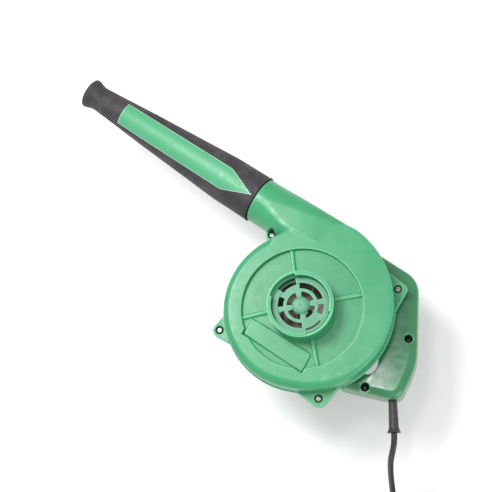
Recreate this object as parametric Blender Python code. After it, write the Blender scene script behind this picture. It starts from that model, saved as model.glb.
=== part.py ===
"""Hand-held electric leaf blower with a D handle, as an assembly of separate pieces.

Frame: the origin is on the fan axis, on the flat closed end of the motor housing. +Z runs up
the fan axis towards the air inlet, +X towards the nozzle tip, and +Y towards the tool's
underside in use. Lengths are in metres, angles in degrees.
"""

import math

import bmesh
import bpy
from mathutils import Matrix, Vector, geometry

GAP = 0.0003  # clearance between pieces that touch
WALL = 0.0024
REACH = 0.02  # how far a cutter runs past the material it cuts
MERGE = 0.000005

# Heights on the fan axis
BACK_Z = 0.100  # outer back face of the rear case, and the handle's parting plane
PARTING_Z = 0.126
FACE_Z = 0.152  # flat ring of the front case
RECESS_Z = 0.147
COLLAR_Z = 0.172
CASE_DEPTH = FACE_Z - PARTING_Z

# Volute outline
SCROLL_R = 0.0828
SCROLL_GROWTH = 0.0172
GROWTH_FROM = 115.0
GROWTH_TO = 270.0
TONGUE_AT = 330.0
EDGE_ROUND = 0.008  # front edge on the side away from the handle
EDGE_CRISP = 0.003  # front edge on the handle's side
REAR_ROUND = 0.020
REAR_STEP = 0.0015  # the rear half is smaller than the front half by this much all round
LIP_W = 0.0014
LIP_H = 0.0022

# Duct and nozzle
DUCT_Y = -0.0764
DUCT_R = 0.0251
DUCT_END_X = 0.1097
SPIGOT_R = 0.0228
SPIGOT_END_X = 0.134
NOZZLE_X = 0.1107
NOZZLE_TIP_X = 0.343
NOZZLE_BASE_R = 0.0267
NOZZLE_WALL = 0.0026
DUCT_TOP_Y = DUCT_Y - DUCT_R
DUCT_LOW_Y = DUCT_Y + DUCT_R
DUCT_TOP_RISE = 0.0020  # how far the duct's upper wall climbs from the volute to the nozzle
DUCT_ROOT_Y = -0.063  # the duct's lower wall where it leaves the volute

# Recess and inlet
RECESS_R = 0.063
COLLAR_R = 0.0345
COLLAR_NECK_R = 0.0337
BORE_R = 0.0300
RIBS = ((311.1, 0.0038), (222.7, 0.0041), (47.5, -0.0056), (135.0, 0.0040))  # direction, offset
FLANGE_ANGLES = (45.0, 135.0, 225.0, 315.0)
PAD_CORNERS = ((0.0351, 0.0550), (0.0372, 0.0374), (-0.0344, 0.0347), (-0.0367, 0.0546))

# Openings of the inlet guard: two radii, two angles and the length of their facets in degrees
GUARD_OPENINGS = (
    (0.0093, 0.0146, -32, 32, 21.4),
    (0.0093, 0.0146, 58, 122, 21.4),
    (0.0093, 0.0146, 148, 212, 21.4),
    (0.0093, 0.0146, 238, 302, 21.4),
    (0.0180, 0.0237, 52, 128, 19),
    (0.0180, 0.0237, 232, 308, 19),
    (0.0180, 0.0237, 10, 37, 13.5),
    (0.0180, 0.0237, 190, 217, 13.5),
    (0.0246, 0.0270, 136, 176, 20),
    (0.0222, 0.0310, -44, -3, 14),
)

# Screwed ears of the two case halves: centre, outer radius, points that tie them to the case
EAR_TOP_Z = 0.1315
EAR_LOW_Z = 0.1200
EARS = (
    ((0.0757, -0.0506), 0.0072, ((0.066, -0.044), (0.070, -0.060))),
    (
        (-0.0680, -0.0740),
        0.0062,
        ((-0.0475, -0.0838), (-0.0740, -0.0812), (-0.0768, -0.0788), (-0.0790, -0.0470)),
    ),
    ((-0.0638, 0.0663), 0.0085, ((-0.034, 0.073), (-0.075, 0.040))),
    ((0.0630, 0.0644), 0.0075, ((0.040, 0.070), (0.068, 0.045))),
)
SCREW_HEAD_R = 0.0033
COUNTERBORE_R = 0.0045
COUNTERBORE_Z = 0.1284
SCREW_R = 0.0021

# Motor
HOUSING_R = 0.0440
HOUSING_END_R = 0.0410
HOUSING_WALL = 0.0025
HOUSING_TOP_Z = BACK_Z - GAP
SHAFT_R = 0.004
BEARING_R = 0.011
BEARING_H = 0.007
CORE_LOW_Z = 0.038
CORE_TOP_Z = 0.074
ROTOR_R = 0.0203
BRUSH_Z = 0.0245

# Handle
HANDLE_FAR_Z = 0.076
HANDLE_NEAR_Z = 0.116
HANDLE_WALL = 0.0026
HANDLE_OUTLINE = (
    (-0.0780, -0.0980, 0.026),
    (-0.1252, -0.0220, 0.060),
    (-0.1318, 0.0205, 0.014),
    (-0.0770, 0.0410, 0.015),
    (-0.0420, 0.0460, 0.015),
    (-0.0150, 0.0380, 0.009),
    (0.0000, -0.0360, 0.009),
    (-0.0060, -0.0985, 0.012),
)
LOOP_OUTLINE = (
    (-0.0640, -0.0560, 0.008),
    (-0.0990, 0.0150, 0.012),
    (-0.0520, 0.0255, 0.008),
    (-0.0500, -0.0380, 0.008),
)
HANDLE_SCREWS = ((-0.1038, -0.0386), (-0.0942, 0.0284))

# Trigger, in the loop's rear wall
GRIP_LINE = Vector((-0.0350, 0.0710, 0.0)).normalized()
TRIGGER_PRESS = Vector((-GRIP_LINE.y, GRIP_LINE.x, 0.0))
TRIGGER_AT = Vector((-0.0640, -0.0560, 0.0)) + 0.027 * GRIP_LINE
TRIGGER_Z = 0.088
TRIGGER_H = 0.013
TRIGGER_L = 0.028
LOCK_AT = TRIGGER_AT + 0.024 * GRIP_LINE + 0.018 * TRIGGER_PRESS

# Supply cord
CORD_R = 0.0032
CORD_EXIT = Vector((-0.1225, 0.0205, BACK_Z))
CORD_WAY = Vector((-0.586, 0.810, 0.0)).normalized()
ARMOR_L = 0.036


def clear_scene():
    for item in list(bpy.data.objects):
        bpy.data.objects.remove(item, do_unlink=True)


def material(name, colour, roughness, metallic=0.0):
    made = bpy.data.materials.new(name)
    made.use_nodes = True
    shader = made.node_tree.nodes["Principled BSDF"]
    shader.inputs["Base Color"].default_value = (*colour, 1.0)
    shader.inputs["Roughness"].default_value = roughness
    shader.inputs["Metallic"].default_value = metallic
    return made


def make(name, shape, finish=None, smooth=35.0):
    """Turns a bmesh into a named object in the scene."""
    bmesh.ops.recalc_face_normals(shape, faces=shape.faces)
    if shape.calc_volume(signed=True) < 0:
        bmesh.ops.reverse_faces(shape, faces=shape.faces)
    mesh = bpy.data.meshes.new(name)
    shape.to_mesh(mesh)
    shape.free()
    item = bpy.data.objects.new(name, mesh)
    bpy.context.scene.collection.objects.link(item)
    if finish:
        mesh.materials.append(finish)
    mesh.shade_smooth()
    mesh.set_sharp_from_angle(angle=math.radians(smooth))
    return item


def combine(target, tools, operation):
    """Adds or cuts the tools one by one, applies each result to the target and removes the tool."""
    for tool in tools:
        change = target.modifiers.new(tool.name, "BOOLEAN")
        change.operation = operation
        change.solver = "EXACT"
        change.object = tool
        graph = bpy.context.evaluated_depsgraph_get()
        graph.update()
        mesh = bpy.data.meshes.new_from_object(target.evaluated_get(graph))
        target.modifiers.clear()
        target.data = mesh
        bpy.data.objects.remove(tool, do_unlink=True)
        weld(mesh)
    return target


def weld(mesh):
    """Merges the points that a Boolean leaves closer than a few microns."""
    shape = bmesh.new()
    shape.from_mesh(mesh)
    bmesh.ops.remove_doubles(shape, verts=shape.verts, dist=MERGE)
    bmesh.ops.dissolve_degenerate(shape, edges=shape.edges, dist=MERGE)
    shape.to_mesh(mesh)
    shape.free()


def polar(radius, degrees):
    angle = math.radians(degrees)
    return (radius * math.cos(angle), radius * math.sin(angle))


def counter_clockwise(outline):
    area = sum(
        a[0] * b[1] - b[0] * a[1] for a, b in zip(outline, outline[1:] + outline[:1])
    )
    return outline if area > 0 else outline[::-1]


def rounded(corners, step=25.0):
    """A closed outline through corners of (x, y, radius), each corner as an arc."""
    outline = []
    for index, (x, y, radius) in enumerate(corners):
        corner = Vector((x, y))
        before = (Vector(corners[index - 1][:2]) - corner).normalized()
        after = (Vector(corners[(index + 1) % len(corners)][:2]) - corner).normalized()
        half = before.angle(after) / 2
        centre = corner + (before + after).normalized() * radius / math.sin(half)
        start = corner + before * radius / math.tan(half) - centre
        end = corner + after * radius / math.tan(half) - centre
        sweep = -start.angle_signed(end)
        steps = max(1, round(abs(math.degrees(sweep)) / step))
        for turn in range(steps + 1):
            angle = sweep * turn / steps
            outline.append(tuple(centre + Matrix.Rotation(angle, 2) @ start))
    return counter_clockwise(outline)


def offset(outline, distance):
    """The outline moved outwards by a distance, or inwards by a negative one."""
    moved = []
    for index, point in enumerate(outline):
        here = Vector(point)
        into = here - Vector(outline[index - 1])
        out = Vector(outline[(index + 1) % len(outline)]) - here
        first = Vector((into.y, -into.x)).normalized()
        second = Vector((out.y, -out.x)).normalized()
        middle = (first + second).normalized()
        moved.append(tuple(here + middle * distance / middle.dot(first)))
    return moved


def prism(outline, low, high):
    shape = bmesh.new()
    base = shape.faces.new([shape.verts.new((x, y, low)) for x, y in outline])
    grown = bmesh.ops.extrude_face_region(shape, geom=[base])
    top = [item for item in grown["geom"] if isinstance(item, bmesh.types.BMVert)]
    bmesh.ops.translate(shape, verts=top, vec=(0, 0, high - low))
    return shape


def rimmed_prism(outline, low, high, edge, rim_z, segments=3):
    """A prism whose edge at the height rim_z is rounded."""
    shape = prism(outline, low, high)
    rim = [
        item
        for item in shape.edges
        if all(abs(end.co.z - rim_z) < 1e-6 for end in item.verts)
    ]
    bmesh.ops.bevel(
        shape, geom=rim, offset=edge, segments=segments, profile=0.5, affect="EDGES"
    )
    return shape


def turned(profile, steps=36):
    """A closed profile of (radius, height) points turned about Z."""
    shape = bmesh.new()
    corners = [shape.verts.new((radius, 0, height)) for radius, height in profile]
    sides = [
        shape.edges.new((a, b))
        for a, b in zip(corners, corners[1:] + corners[:1])
        if a.co.x > 0 or b.co.x > 0
    ]
    bmesh.ops.spin(
        shape,
        geom=corners + sides,
        cent=(0, 0, 0),
        axis=(0, 0, 1),
        angle=2 * math.pi,
        steps=steps,
    )
    bmesh.ops.remove_doubles(shape, verts=shape.verts, dist=1e-6)
    return shape


def disc(radius, low, high, steps=36):
    return turned([(0, low), (radius, low), (radius, high), (0, high)], steps)


def ring(inner, outer, low, high, steps=36):
    return turned([(inner, low), (outer, low), (outer, high), (inner, high)], steps)


def sector(inner, outer, start, end, low, high, step=15.0):
    """A block between two radii and two angles."""
    steps = max(1, round((end - start) / step))
    angles = [start + (end - start) * turn / steps for turn in range(steps + 1)]
    outline = [polar(outer, angle) for angle in angles]
    outline += [polar(inner, angle) for angle in reversed(angles)]
    return prism(outline, low, high)


def box(size, at, turn=0.0):
    shape = bmesh.new()
    bmesh.ops.create_cube(shape, size=1.0)
    place = Matrix.Translation(at) @ Matrix.Rotation(math.radians(turn), 4, "Z")
    shape.transform(place @ Matrix.Diagonal((*size, 1.0)))
    return shape


def loft(rings):
    """A solid through closed rings of points that have the same count."""
    shape = bmesh.new()
    loops = [[shape.verts.new(point) for point in points] for points in rings]
    shape.faces.new(loops[0])
    shape.faces.new(loops[-1])
    for low, high in zip(loops, loops[1:]):
        for index in range(len(low)):
            after = (index + 1) % len(low)
            shape.faces.new((low[index], low[after], high[after], high[index]))
    return shape


def aimed(shape, at, way):
    """Moves a shape made along +Z so that it runs from a point in a direction."""
    turn = Vector((0, 0, 1)).rotation_difference(Vector(way)).to_matrix().to_4x4()
    shape.transform(Matrix.Translation(at) @ turn)
    return shape


def moved(shape, at):
    shape.transform(Matrix.Translation(at))
    return shape


def ease(value):
    value = min(1.0, max(0.0, value))
    return value * value * (3 - 2 * value)


# ---------------------------------------------------------------- finishes

clear_scene()

GREEN = material("green_plastic", (0.14, 0.52, 0.28), 0.38)
BLACK = material("black_plastic", (0.03, 0.03, 0.032), 0.5)
RUBBER = material("dark_rubber", (0.075, 0.07, 0.08), 0.75)
STEEL = material("steel", (0.60, 0.60, 0.62), 0.32, 1.0)
LAMINATION = material("lamination_steel", (0.30, 0.30, 0.31), 0.5, 1.0)
ALUMINIUM = material("cast_aluminium", (0.55, 0.54, 0.52), 0.45, 1.0)
COPPER = material("copper", (0.72, 0.36, 0.18), 0.4, 1.0)
CARBON = material("carbon", (0.05, 0.05, 0.05), 0.7)
BRASS = material("brass", (0.72, 0.55, 0.25), 0.35, 1.0)
CREAM = material("cream_plastic", (0.75, 0.70, 0.55), 0.5)
LABEL = material("green_label", (0.17, 0.52, 0.33), 0.45)


# ---------------------------------------------------------------- volute case


def scroll_radius(degrees):
    """Volute radius by the angle from +X towards +Y. Past 270 it closes inside the duct."""
    if degrees <= GROWTH_FROM:
        return SCROLL_R
    if degrees <= GROWTH_TO:
        share = (degrees - GROWTH_FROM) / (GROWTH_TO - GROWTH_FROM)
        return SCROLL_R + SCROLL_GROWTH * share
    share = (degrees - GROWTH_TO) / (TONGUE_AT - GROWTH_TO)
    return SCROLL_R + SCROLL_GROWTH * (1 - ease(share))


def scroll_outline(step=8):
    first = round(TONGUE_AT - 360)
    return [polar(scroll_radius(a), a) for a in range(first, round(TONGUE_AT), step)]


def edge_radius(degrees, side):
    """Rounding of the volute's outer edge, on the front (+1) or rear (-1) half."""
    if side < 0:
        return REAR_ROUND
    return EDGE_ROUND + (EDGE_CRISP - EDGE_ROUND) * ease((degrees - 120) / 70)


def scroll_body(name, side, past, inset, steps):
    """Half of the volute, or its hollow when inset by the wall, from the height past to its face."""
    face = PARTING_Z + side * (CASE_DEPTH - inset)
    shrink = inset + (REAR_STEP if side < 0 else 0.0)
    angles = range(round(TONGUE_AT - 360), round(TONGUE_AT), 8)
    rings = [[(*polar(scroll_radius(a) - shrink, a), past) for a in angles]]
    for step in range(steps + 1):
        turn = math.radians(90 * step / steps)
        ring_points = []
        for a in angles:
            edge = max(edge_radius(a, side) - inset, 0.0006)
            x, y = polar(scroll_radius(a) - shrink - edge * (1 - math.cos(turn)), a)
            ring_points.append((x, y, face - side * edge * (1 - math.sin(turn))))
        rings.append(ring_points)
    return make(name, loft(rings), GREEN)


def duct_section(x, side, inset):
    """Half of the duct's cross-section at x, on the front (+1) or rear (-1) side."""
    along = ease(x / 0.095)
    step_in = REAR_STEP * (1 - along) if side < 0 else 0.0
    top = DUCT_TOP_Y + DUCT_TOP_RISE * (1 - along) + inset + step_in
    low = DUCT_ROOT_Y + (DUCT_LOW_Y - DUCT_ROOT_Y) * ease((x - 0.030) / 0.045) - inset
    full = CASE_DEPTH - 0.0004 + 0.0010 * ease(x / 0.050)
    height = full + (DUCT_R - full) * ease((x - 0.050) / 0.050) - inset
    limit = (low - top) / 2 - 1e-5
    corners = []
    for smallest, share in ((0.002, x / 0.095), (0.003, (x - 0.040) / 0.058)):
        start = smallest if side > 0 else REAR_ROUND
        corner = start + (DUCT_R - start) * min(1.0, max(0.0, share)) - inset
        corners.append(min(max(corner, 0.0006), height, limit))
    top_corner, low_corner = corners
    points = [(top, -0.004)]
    for turn in range(5):
        y, z = polar(top_corner, 180 - 90 * turn / 4)
        points.append((top + top_corner + y, height - top_corner + z))
    for turn in range(5):
        y, z = polar(low_corner, 90 - 90 * turn / 4)
        points.append((low - low_corner + y, height - low_corner + z))
    points.append((low, -0.004))
    return [(x, y, PARTING_Z + side * z) for y, z in points]


def half_round(x, radius, side):
    points = [(-radius, -0.004)]
    for turn in range(10):
        points.append(polar(radius, 180 - 180 * turn / 9))
    points.append((radius, -0.004))
    return [(x, DUCT_Y + y, PARTING_Z + side * z) for y, z in points]


def ear_outline(ear):
    centre, radius, ties = ear
    points = [Vector(centre) + Vector(polar(radius, 24 * turn)) for turn in range(15)]
    points += [Vector(tie) for tie in ties]
    return [tuple(points[index]) for index in geometry.convex_hull_2d(points)]


def case_half(name, side):
    """The hollow body that both case halves share, open at the parting plane."""
    past = PARTING_Z - side * 0.004
    body = scroll_body(name, side, past, 0.0, 3)
    stations = (0.0, 0.012, 0.024, 0.036, 0.048, 0.060, 0.075, 0.086, 0.095, DUCT_END_X)
    duct = make("duct", loft([duct_section(x, side, 0.0) for x in stations]))
    spigot = make("spigot", loft([half_round(x, SPIGOT_R, side) for x in (0.100, SPIGOT_END_X)]))
    ear_z = EAR_TOP_Z if side > 0 else EAR_LOW_Z
    ears = [
        make("ear", prism(ear_outline(ear), min(past, ear_z), max(past, ear_z)))
        for ear in EARS
    ]
    combine(body, [duct, spigot, *ears], "UNION")
    return body, scroll_body("hollow", side, PARTING_Z - side * 0.008, WALL, 1)


def duct_hollow(side):
    stations = (0.026, 0.036, 0.048, 0.060, 0.075, 0.095)
    rings = [duct_section(x, side, WALL) for x in stations]
    return make("duct_hollow", loft(rings))


def spigot_hollow(side):
    radius = SPIGOT_R - WALL
    return make("spigot_hollow", loft([half_round(x, radius, side) for x in (0.090, 0.150)]))


def trim(side):
    """What lies on the other side of the parting plane."""
    centre = PARTING_Z - side * (REACH - GAP / 2)
    return make("trim", box((0.5, 0.5, 2 * REACH), (0.05, 0, centre)))


def front_case():
    body, hollow = case_half("front_case", 1)
    lip = prism(offset(scroll_outline(), LIP_W), PARTING_Z - 0.003, PARTING_Z + LIP_H)
    combine(body, [make("lip", lip)], "UNION")
    floor_z = RECESS_Z - WALL
    pad = counter_clockwise(list(PAD_CORNERS))
    floor = make("floor", disc(RECESS_R + WALL, floor_z, FACE_Z + REACH))
    pad_floor = make("pad_floor", prism(offset(pad, 0.0042), floor_z, FACE_Z + REACH))
    combine(hollow, [floor, pad_floor], "DIFFERENCE")
    backing = moved(disc(0.0068, PARTING_Z - REACH, FACE_Z, 24), (*EARS[0][0], 0))
    duct = combine(duct_hollow(1), [make("screw_backing", backing)], "DIFFERENCE")
    combine(body, [hollow, duct, spigot_hollow(1)], "DIFFERENCE")
    recess = make("recess", disc(RECESS_R, RECESS_Z, FACE_Z + REACH, 48))
    pad_recess = make("pad_recess", prism(offset(pad, 0.0018), RECESS_Z, FACE_Z + REACH))
    combine(body, [recess, pad_recess, trim(1)], "DIFFERENCE")
    collar_profile = [
        (0.0, floor_z - 0.0016),
        (COLLAR_NECK_R, floor_z - 0.0016),
        (COLLAR_NECK_R, COLLAR_Z - 0.0045),
        (COLLAR_R, COLLAR_Z - 0.0037),
        (COLLAR_R, COLLAR_Z),
        (0.0, COLLAR_Z),
    ]
    collar = make("collar", turned(collar_profile))
    raised = make("pad", prism(pad, RECESS_Z - 0.001, RECESS_Z + 0.0018))
    ribs = []
    for angle, aside in RIBS:
        along = Vector(polar(0.0485, angle)) + Vector(polar(aside, angle + 90))
        at = (along.x, along.y, RECESS_Z + 0.0007)
        ribs.append(make("rib", box((0.0330, 0.0035, 0.0034), at, angle)))
    combine(body, [raised, *ribs, collar], "UNION")
    cuts = [make("bore", disc(BORE_R, floor_z - REACH, COLLAR_Z + REACH))]
    for middle in (-13.6, 166.4):
        notch = sector(0.028, 0.0322, middle - 32, middle + 32, 0.164, COLLAR_Z + REACH, 16)
        cuts.append(make("bayonet", notch))
    for (x, y), _, _ in EARS:
        at = (x, y, COUNTERBORE_Z)
        cuts.append(make("head", moved(disc(COUNTERBORE_R, 0, REACH, 12), at)))
        cuts.append(make("hole", moved(disc(SCREW_R + GAP, -REACH, REACH, 8), at)))
    combine(body, cuts, "DIFFERENCE")


def rear_case():
    body, hollow = case_half("rear_case", -1)
    combine(body, [hollow, duct_hollow(-1), spigot_hollow(-1), trim(-1)], "DIFFERENCE")
    boss = make("boss", disc(0.0138, 0.0905, BACK_Z + 0.001, 24))
    combine(body, [boss], "UNION")
    cuts = [
        make("seat", disc(BEARING_R + GAP, 0.0922, 0.0998, 24)),
        make("passage", disc(0.0085, 0.080, 0.110, 16)),
        make("seat_way", disc(0.0096, 0.080, 0.0925, 16)),
    ]
    for turn in range(6):
        start = 60 * turn + 8
        cuts.append(make("vent", sector(0.018, 0.033, start, start + 44, 0.09, 0.11, 22)))
    for angle in FLANGE_ANGLES:
        x, y = polar(0.0475, angle)
        cuts.append(make("hole", moved(disc(SCREW_R + GAP, 0.090, 0.110, 8), (x, y, 0))))
    for (x, y), _, _ in EARS:
        cuts.append(make("hole", moved(disc(SCREW_R + GAP, -REACH, REACH, 8), (x, y, 0.124))))
    combine(body, cuts, "DIFFERENCE")


def inlet_guard():
    """The cap in the inlet: a skirt, concentric bands joined by spokes, and a domed hub."""
    profile = [
        (0.0, 0.1612),
        (0.0276, 0.1612),
        (0.0276, 0.1500),
        (0.0297, 0.1500),
        (0.0297, 0.1634),
        (0.0240, 0.1634),
        (0.0235, 0.1629),
        (0.0087, 0.1629),
        (0.0078, 0.1645),
        (0.0040, 0.1655),
        (0.0, 0.1655),
    ]
    body = make("inlet_guard", turned(profile, 36), GREEN)
    cuts = []
    for inner, outer, start, end, step in GUARD_OPENINGS:
        opening = sector(inner, outer, start, end, 0.155, 0.170, step)
        cuts.append(make("opening", opening))
    combine(body, cuts, "DIFFERENCE")


# ---------------------------------------------------------------- motor housing and handle


def housing():
    wall = HOUSING_WALL
    profile = [
        (0.0, 0.0),
        (HOUSING_END_R - 0.002, 0.0),
        (HOUSING_END_R, 0.002),
        (HOUSING_R, 0.094),
        (0.0530, 0.094),
        (0.0530, HOUSING_TOP_Z + 0.0020),
        (0.0, HOUSING_TOP_Z + 0.0020),
    ]
    body = make("motor_housing", turned(profile, 40), GREEN)
    outline = rounded(HANDLE_OUTLINE)
    loop = rounded(LOOP_OUTLINE)
    handle = make(
        "handle",
        rimmed_prism(outline, HANDLE_FAR_Z, HOUSING_TOP_Z + 0.001, 0.005, HANDLE_FAR_Z, 2),
    )
    pocket = make(
        "pocket",
        prism(offset(outline, -HANDLE_WALL), HANDLE_FAR_Z + HANDLE_WALL, BACK_Z + REACH),
    )
    combine(handle, [pocket], "DIFFERENCE")
    join_z = HOUSING_TOP_Z + 0.0005
    loop_wall = prism(offset(loop, HANDLE_WALL), HANDLE_FAR_Z + 0.0005, join_z)
    joins = [make("loop_wall", loop_wall)]
    for x, y in HANDLE_SCREWS:
        post = disc(0.0048, HANDLE_FAR_Z + 0.001, join_z, 16)
        joins.append(make("post", moved(post, (x, y, 0))))
    combine(handle, joins, "UNION")
    brush_posts = aimed(disc(0.0108, -0.0445, 0.0445, 22), (0, 0, BRUSH_Z), (1, 0, 0))
    combine(body, [handle, make("brush_posts", brush_posts)], "UNION")

    inner = [
        (0.0, 0.003),
        (HOUSING_END_R - wall, 0.003),
        (HOUSING_R - wall, 0.094),
        (HOUSING_R - wall, BACK_Z + REACH),
        (0.0, BACK_Z + REACH),
    ]
    cuts = [
        make("bore", turned(inner, 40)),
        make("loop", prism(loop, HANDLE_FAR_Z - REACH, BACK_Z + REACH)),
        make("level", box((0.4, 0.4, 0.04), (0, 0, HOUSING_TOP_Z + 0.02))),
    ]
    cap_holes = aimed(disc(0.0083, -0.06, 0.06, 22), (0, 0, BRUSH_Z), (1, 0, 0))
    cuts.append(make("cap_holes", cap_holes))
    for turn in range(8):
        start = 45 * turn + 7
        cuts.append(make("end_vent", sector(0.0165, 0.0330, start, start + 31, -0.01, 0.01, 16)))
    for angle in (-66, -40, -14, 12, 38, 64, 118, 244):
        vent = sector(0.036, 0.060, angle - 8, angle + 8, 0.0835, 0.0895, 16)
        cuts.append(make("side_vent", vent))
    for angle in FLANGE_ANGLES:
        x, y = polar(0.0475, angle)
        cuts.append(make("pilot", moved(disc(SCREW_R + GAP, 0.080, 0.110, 8), (x, y, 0))))
    for x, y in HANDLE_SCREWS:
        cuts.append(make("pilot", moved(disc(SCREW_R + GAP, 0.084, 0.110, 8), (x, y, 0))))
    slot_at = TRIGGER_AT + Vector((0, 0, TRIGGER_Z))
    slot_size = (0.010, TRIGGER_L + 0.0008, TRIGGER_H + 0.0008)
    angle = math.degrees(math.atan2(TRIGGER_PRESS.y, TRIGGER_PRESS.x))
    cuts.append(make("trigger_slot", box(slot_size, slot_at, angle)))
    cuts.append(make("lock_hole", moved(disc(0.0053, 0.07, 0.082, 20), (LOCK_AT.x, LOCK_AT.y, 0))))
    combine(body, [*cuts, *cord_way_cuts()], "DIFFERENCE")
    seat = make("seat", ring(BEARING_R + GAP, 0.0140, 0.0025, 0.0125, 24))
    combine(body, [seat], "UNION")


def cord_way_cuts():
    """The passage through the handle's rear corner that holds the strain relief."""
    neck = aimed(disc(0.0044, -0.012, 0.020, 16), CORD_EXIT, CORD_WAY)
    flange = aimed(disc(0.0074, -0.0095, -0.0055, 16), CORD_EXIT, CORD_WAY)
    return [make("cord_neck", neck), make("cord_flange", flange)]


def handle_cover():
    outline = rounded(HANDLE_OUTLINE)
    body = make(
        "handle_cover",
        rimmed_prism(outline, BACK_Z, HANDLE_NEAR_Z, 0.008, HANDLE_NEAR_Z, 3),
        GREEN,
    )
    keep_out = offset(scroll_outline(), -0.0010)
    roof_z = HANDLE_NEAR_Z - HANDLE_WALL
    inner = offset(outline, -HANDLE_WALL)
    pocket = make("pocket", rimmed_prism(inner, BACK_Z - REACH, roof_z, 0.006, roof_z, 2))
    pocket_limit = make(
        "pocket_limit",
        prism(offset(keep_out, HANDLE_WALL), BACK_Z - 2 * REACH, HANDLE_NEAR_Z + REACH),
    )
    combine(pocket, [pocket_limit], "DIFFERENCE")
    combine(body, [pocket], "DIFFERENCE")
    loop = rounded(LOOP_OUTLINE)
    low, high = BACK_Z + 0.0005, HANDLE_NEAR_Z - 0.001
    solids = [make("loop_wall", prism(offset(loop, HANDLE_WALL), low, high))]
    for x, y in HANDLE_SCREWS:
        solids.append(make("post", moved(disc(0.0062, low, high, 16), (x, y, 0))))
    combine(body, solids, "UNION")
    cuts = [
        make("loop", prism(loop, BACK_Z - REACH, HANDLE_NEAR_Z + REACH)),
        make("case_room", prism(keep_out, BACK_Z - REACH, HANDLE_NEAR_Z + REACH)),
        make("tail", box((0.08, 0.08, 0.08), (0.012, -0.070, BACK_Z))),
    ]
    for x, y in HANDLE_SCREWS:
        cuts.append(make("head", moved(disc(COUNTERBORE_R, 0.106, 0.140, 12), (x, y, 0))))
        cuts.append(make("hole", moved(disc(SCREW_R + GAP, 0.080, 0.140, 8), (x, y, 0))))
    combine(body, [*cuts, *cord_way_cuts()], "DIFFERENCE")


# ---------------------------------------------------------------- rotor


BLADE_STEPS = 4


def blade_outline(turn, root, tip, lean, thickness):
    """A backward-curved blade between two radii."""
    line = []
    for step in range(BLADE_STEPS + 1):
        share = step / BLADE_STEPS
        line.append(Vector(polar(root + (tip - root) * share, turn + lean * share * share)))
    left, right = [], []
    for index, point in enumerate(line):
        along = (line[min(index + 1, BLADE_STEPS)] - line[max(index - 1, 0)]).normalized()
        across = Vector((-along.y, along.x)) * thickness / 2
        left.append(tuple(point + across))
        right.append(tuple(point - across))
    return counter_clockwise(left + right[::-1])


def impeller():
    profile = [
        (SHAFT_R + GAP, 0.1040),
        (0.0100, 0.1040),
        (0.0100, 0.1060),
        (0.0570, 0.1060),
        (0.0570, 0.1076),
        (0.0120, 0.1080),
        (0.0100, 0.1160),
        (SHAFT_R + GAP, 0.1160),
    ]
    body = make("impeller", turned(profile, 32), ALUMINIUM)
    blades = [
        make("blade", prism(blade_outline(40 * turn, 0.022, 0.0562, 34, 0.0016), 0.1070, 0.1390))
        for turn in range(9)
    ]
    combine(body, blades, "UNION")


def cooling_fan():
    profile = [
        (SHAFT_R + GAP, 0.0825),
        (0.0090, 0.0825),
        (0.0340, 0.0872),
        (0.0340, 0.0888),
        (0.0080, 0.0888),
        (SHAFT_R + GAP, 0.0888),
    ]
    body = make("cooling_fan", turned(profile, 24), BLACK)
    blades = [
        make("blade", prism(blade_outline(45 * turn, 0.018, 0.0335, 12, 0.0016), 0.0815, 0.0880))
        for turn in range(8)
    ]
    combine(body, blades, "UNION")


def rotor_pieces():
    shaft = [
        (0.0, 0.0040),
        (0.0035, 0.0040),
        (SHAFT_R, 0.0045),
        (SHAFT_R, 0.1175),
        (0.0035, 0.1180),
        (0.0035, 0.1262),
        (0.0, 0.1266),
    ]
    make("motor_shaft", turned(shaft, 16), STEEL)
    bore = SHAFT_R + GAP
    make("impeller_washer", ring(bore, 0.0085, 0.1163, 0.1177, 24), STEEL)
    hexagon = [polar(0.0072, 60 * turn) for turn in range(6)]
    nut = make("impeller_nut", prism(hexagon, 0.1183, 0.1243), STEEL)
    combine(nut, [make("thread", disc(0.0038, 0.11, 0.13, 24))], "DIFFERENCE")

    core = make("armature_core", disc(ROTOR_R, CORE_LOW_Z, CORE_TOP_Z, 36), LAMINATION)
    slots = []
    for turn in range(12):
        angle = 30 * turn
        at = (*polar(0.0170, angle), (CORE_LOW_Z + CORE_TOP_Z) / 2)
        slots.append(make("slot", box((0.0080, 0.0020, 0.060), at, angle)))
    slots.append(make("core_bore", disc(bore, 0.02, 0.09, 24)))
    combine(core, slots, "DIFFERENCE")
    ring_profile = [(bore, 0.0), (0.0150, 0.0), (0.0188, 0.0022), (0.0182, 0.0050), (bore, 0.0050)]
    make(
        "armature_winding_front",
        turned([(r, CORE_TOP_Z + GAP + z) for r, z in ring_profile], 20),
        COPPER,
    )
    make(
        "armature_winding_rear",
        turned([(r, CORE_LOW_Z - GAP - z) for r, z in ring_profile], 20),
        COPPER,
    )
    make("commutator", ring(bore, 0.0115, 0.0170, 0.0322, 24), COPPER)


def bearings():
    for name, low in (("front_bearing", 0.0925), ("rear_bearing", 0.0055)):
        high = low + BEARING_H
        make(f"{name}_inner_race", ring(SHAFT_R + GAP, 0.0066, low, high, 16), STEEL)
        outer = [
            (0.0069, low + 0.0008),
            (0.0090, low + 0.0008),
            (0.0090, low),
            (BEARING_R, low),
            (BEARING_R, high),
            (0.0090, high),
            (0.0090, high - 0.0008),
            (0.0069, high - 0.0008),
        ]
        make(f"{name}_outer_race", turned(outer, 16), STEEL)


# ---------------------------------------------------------------- stator and brushes


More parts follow.
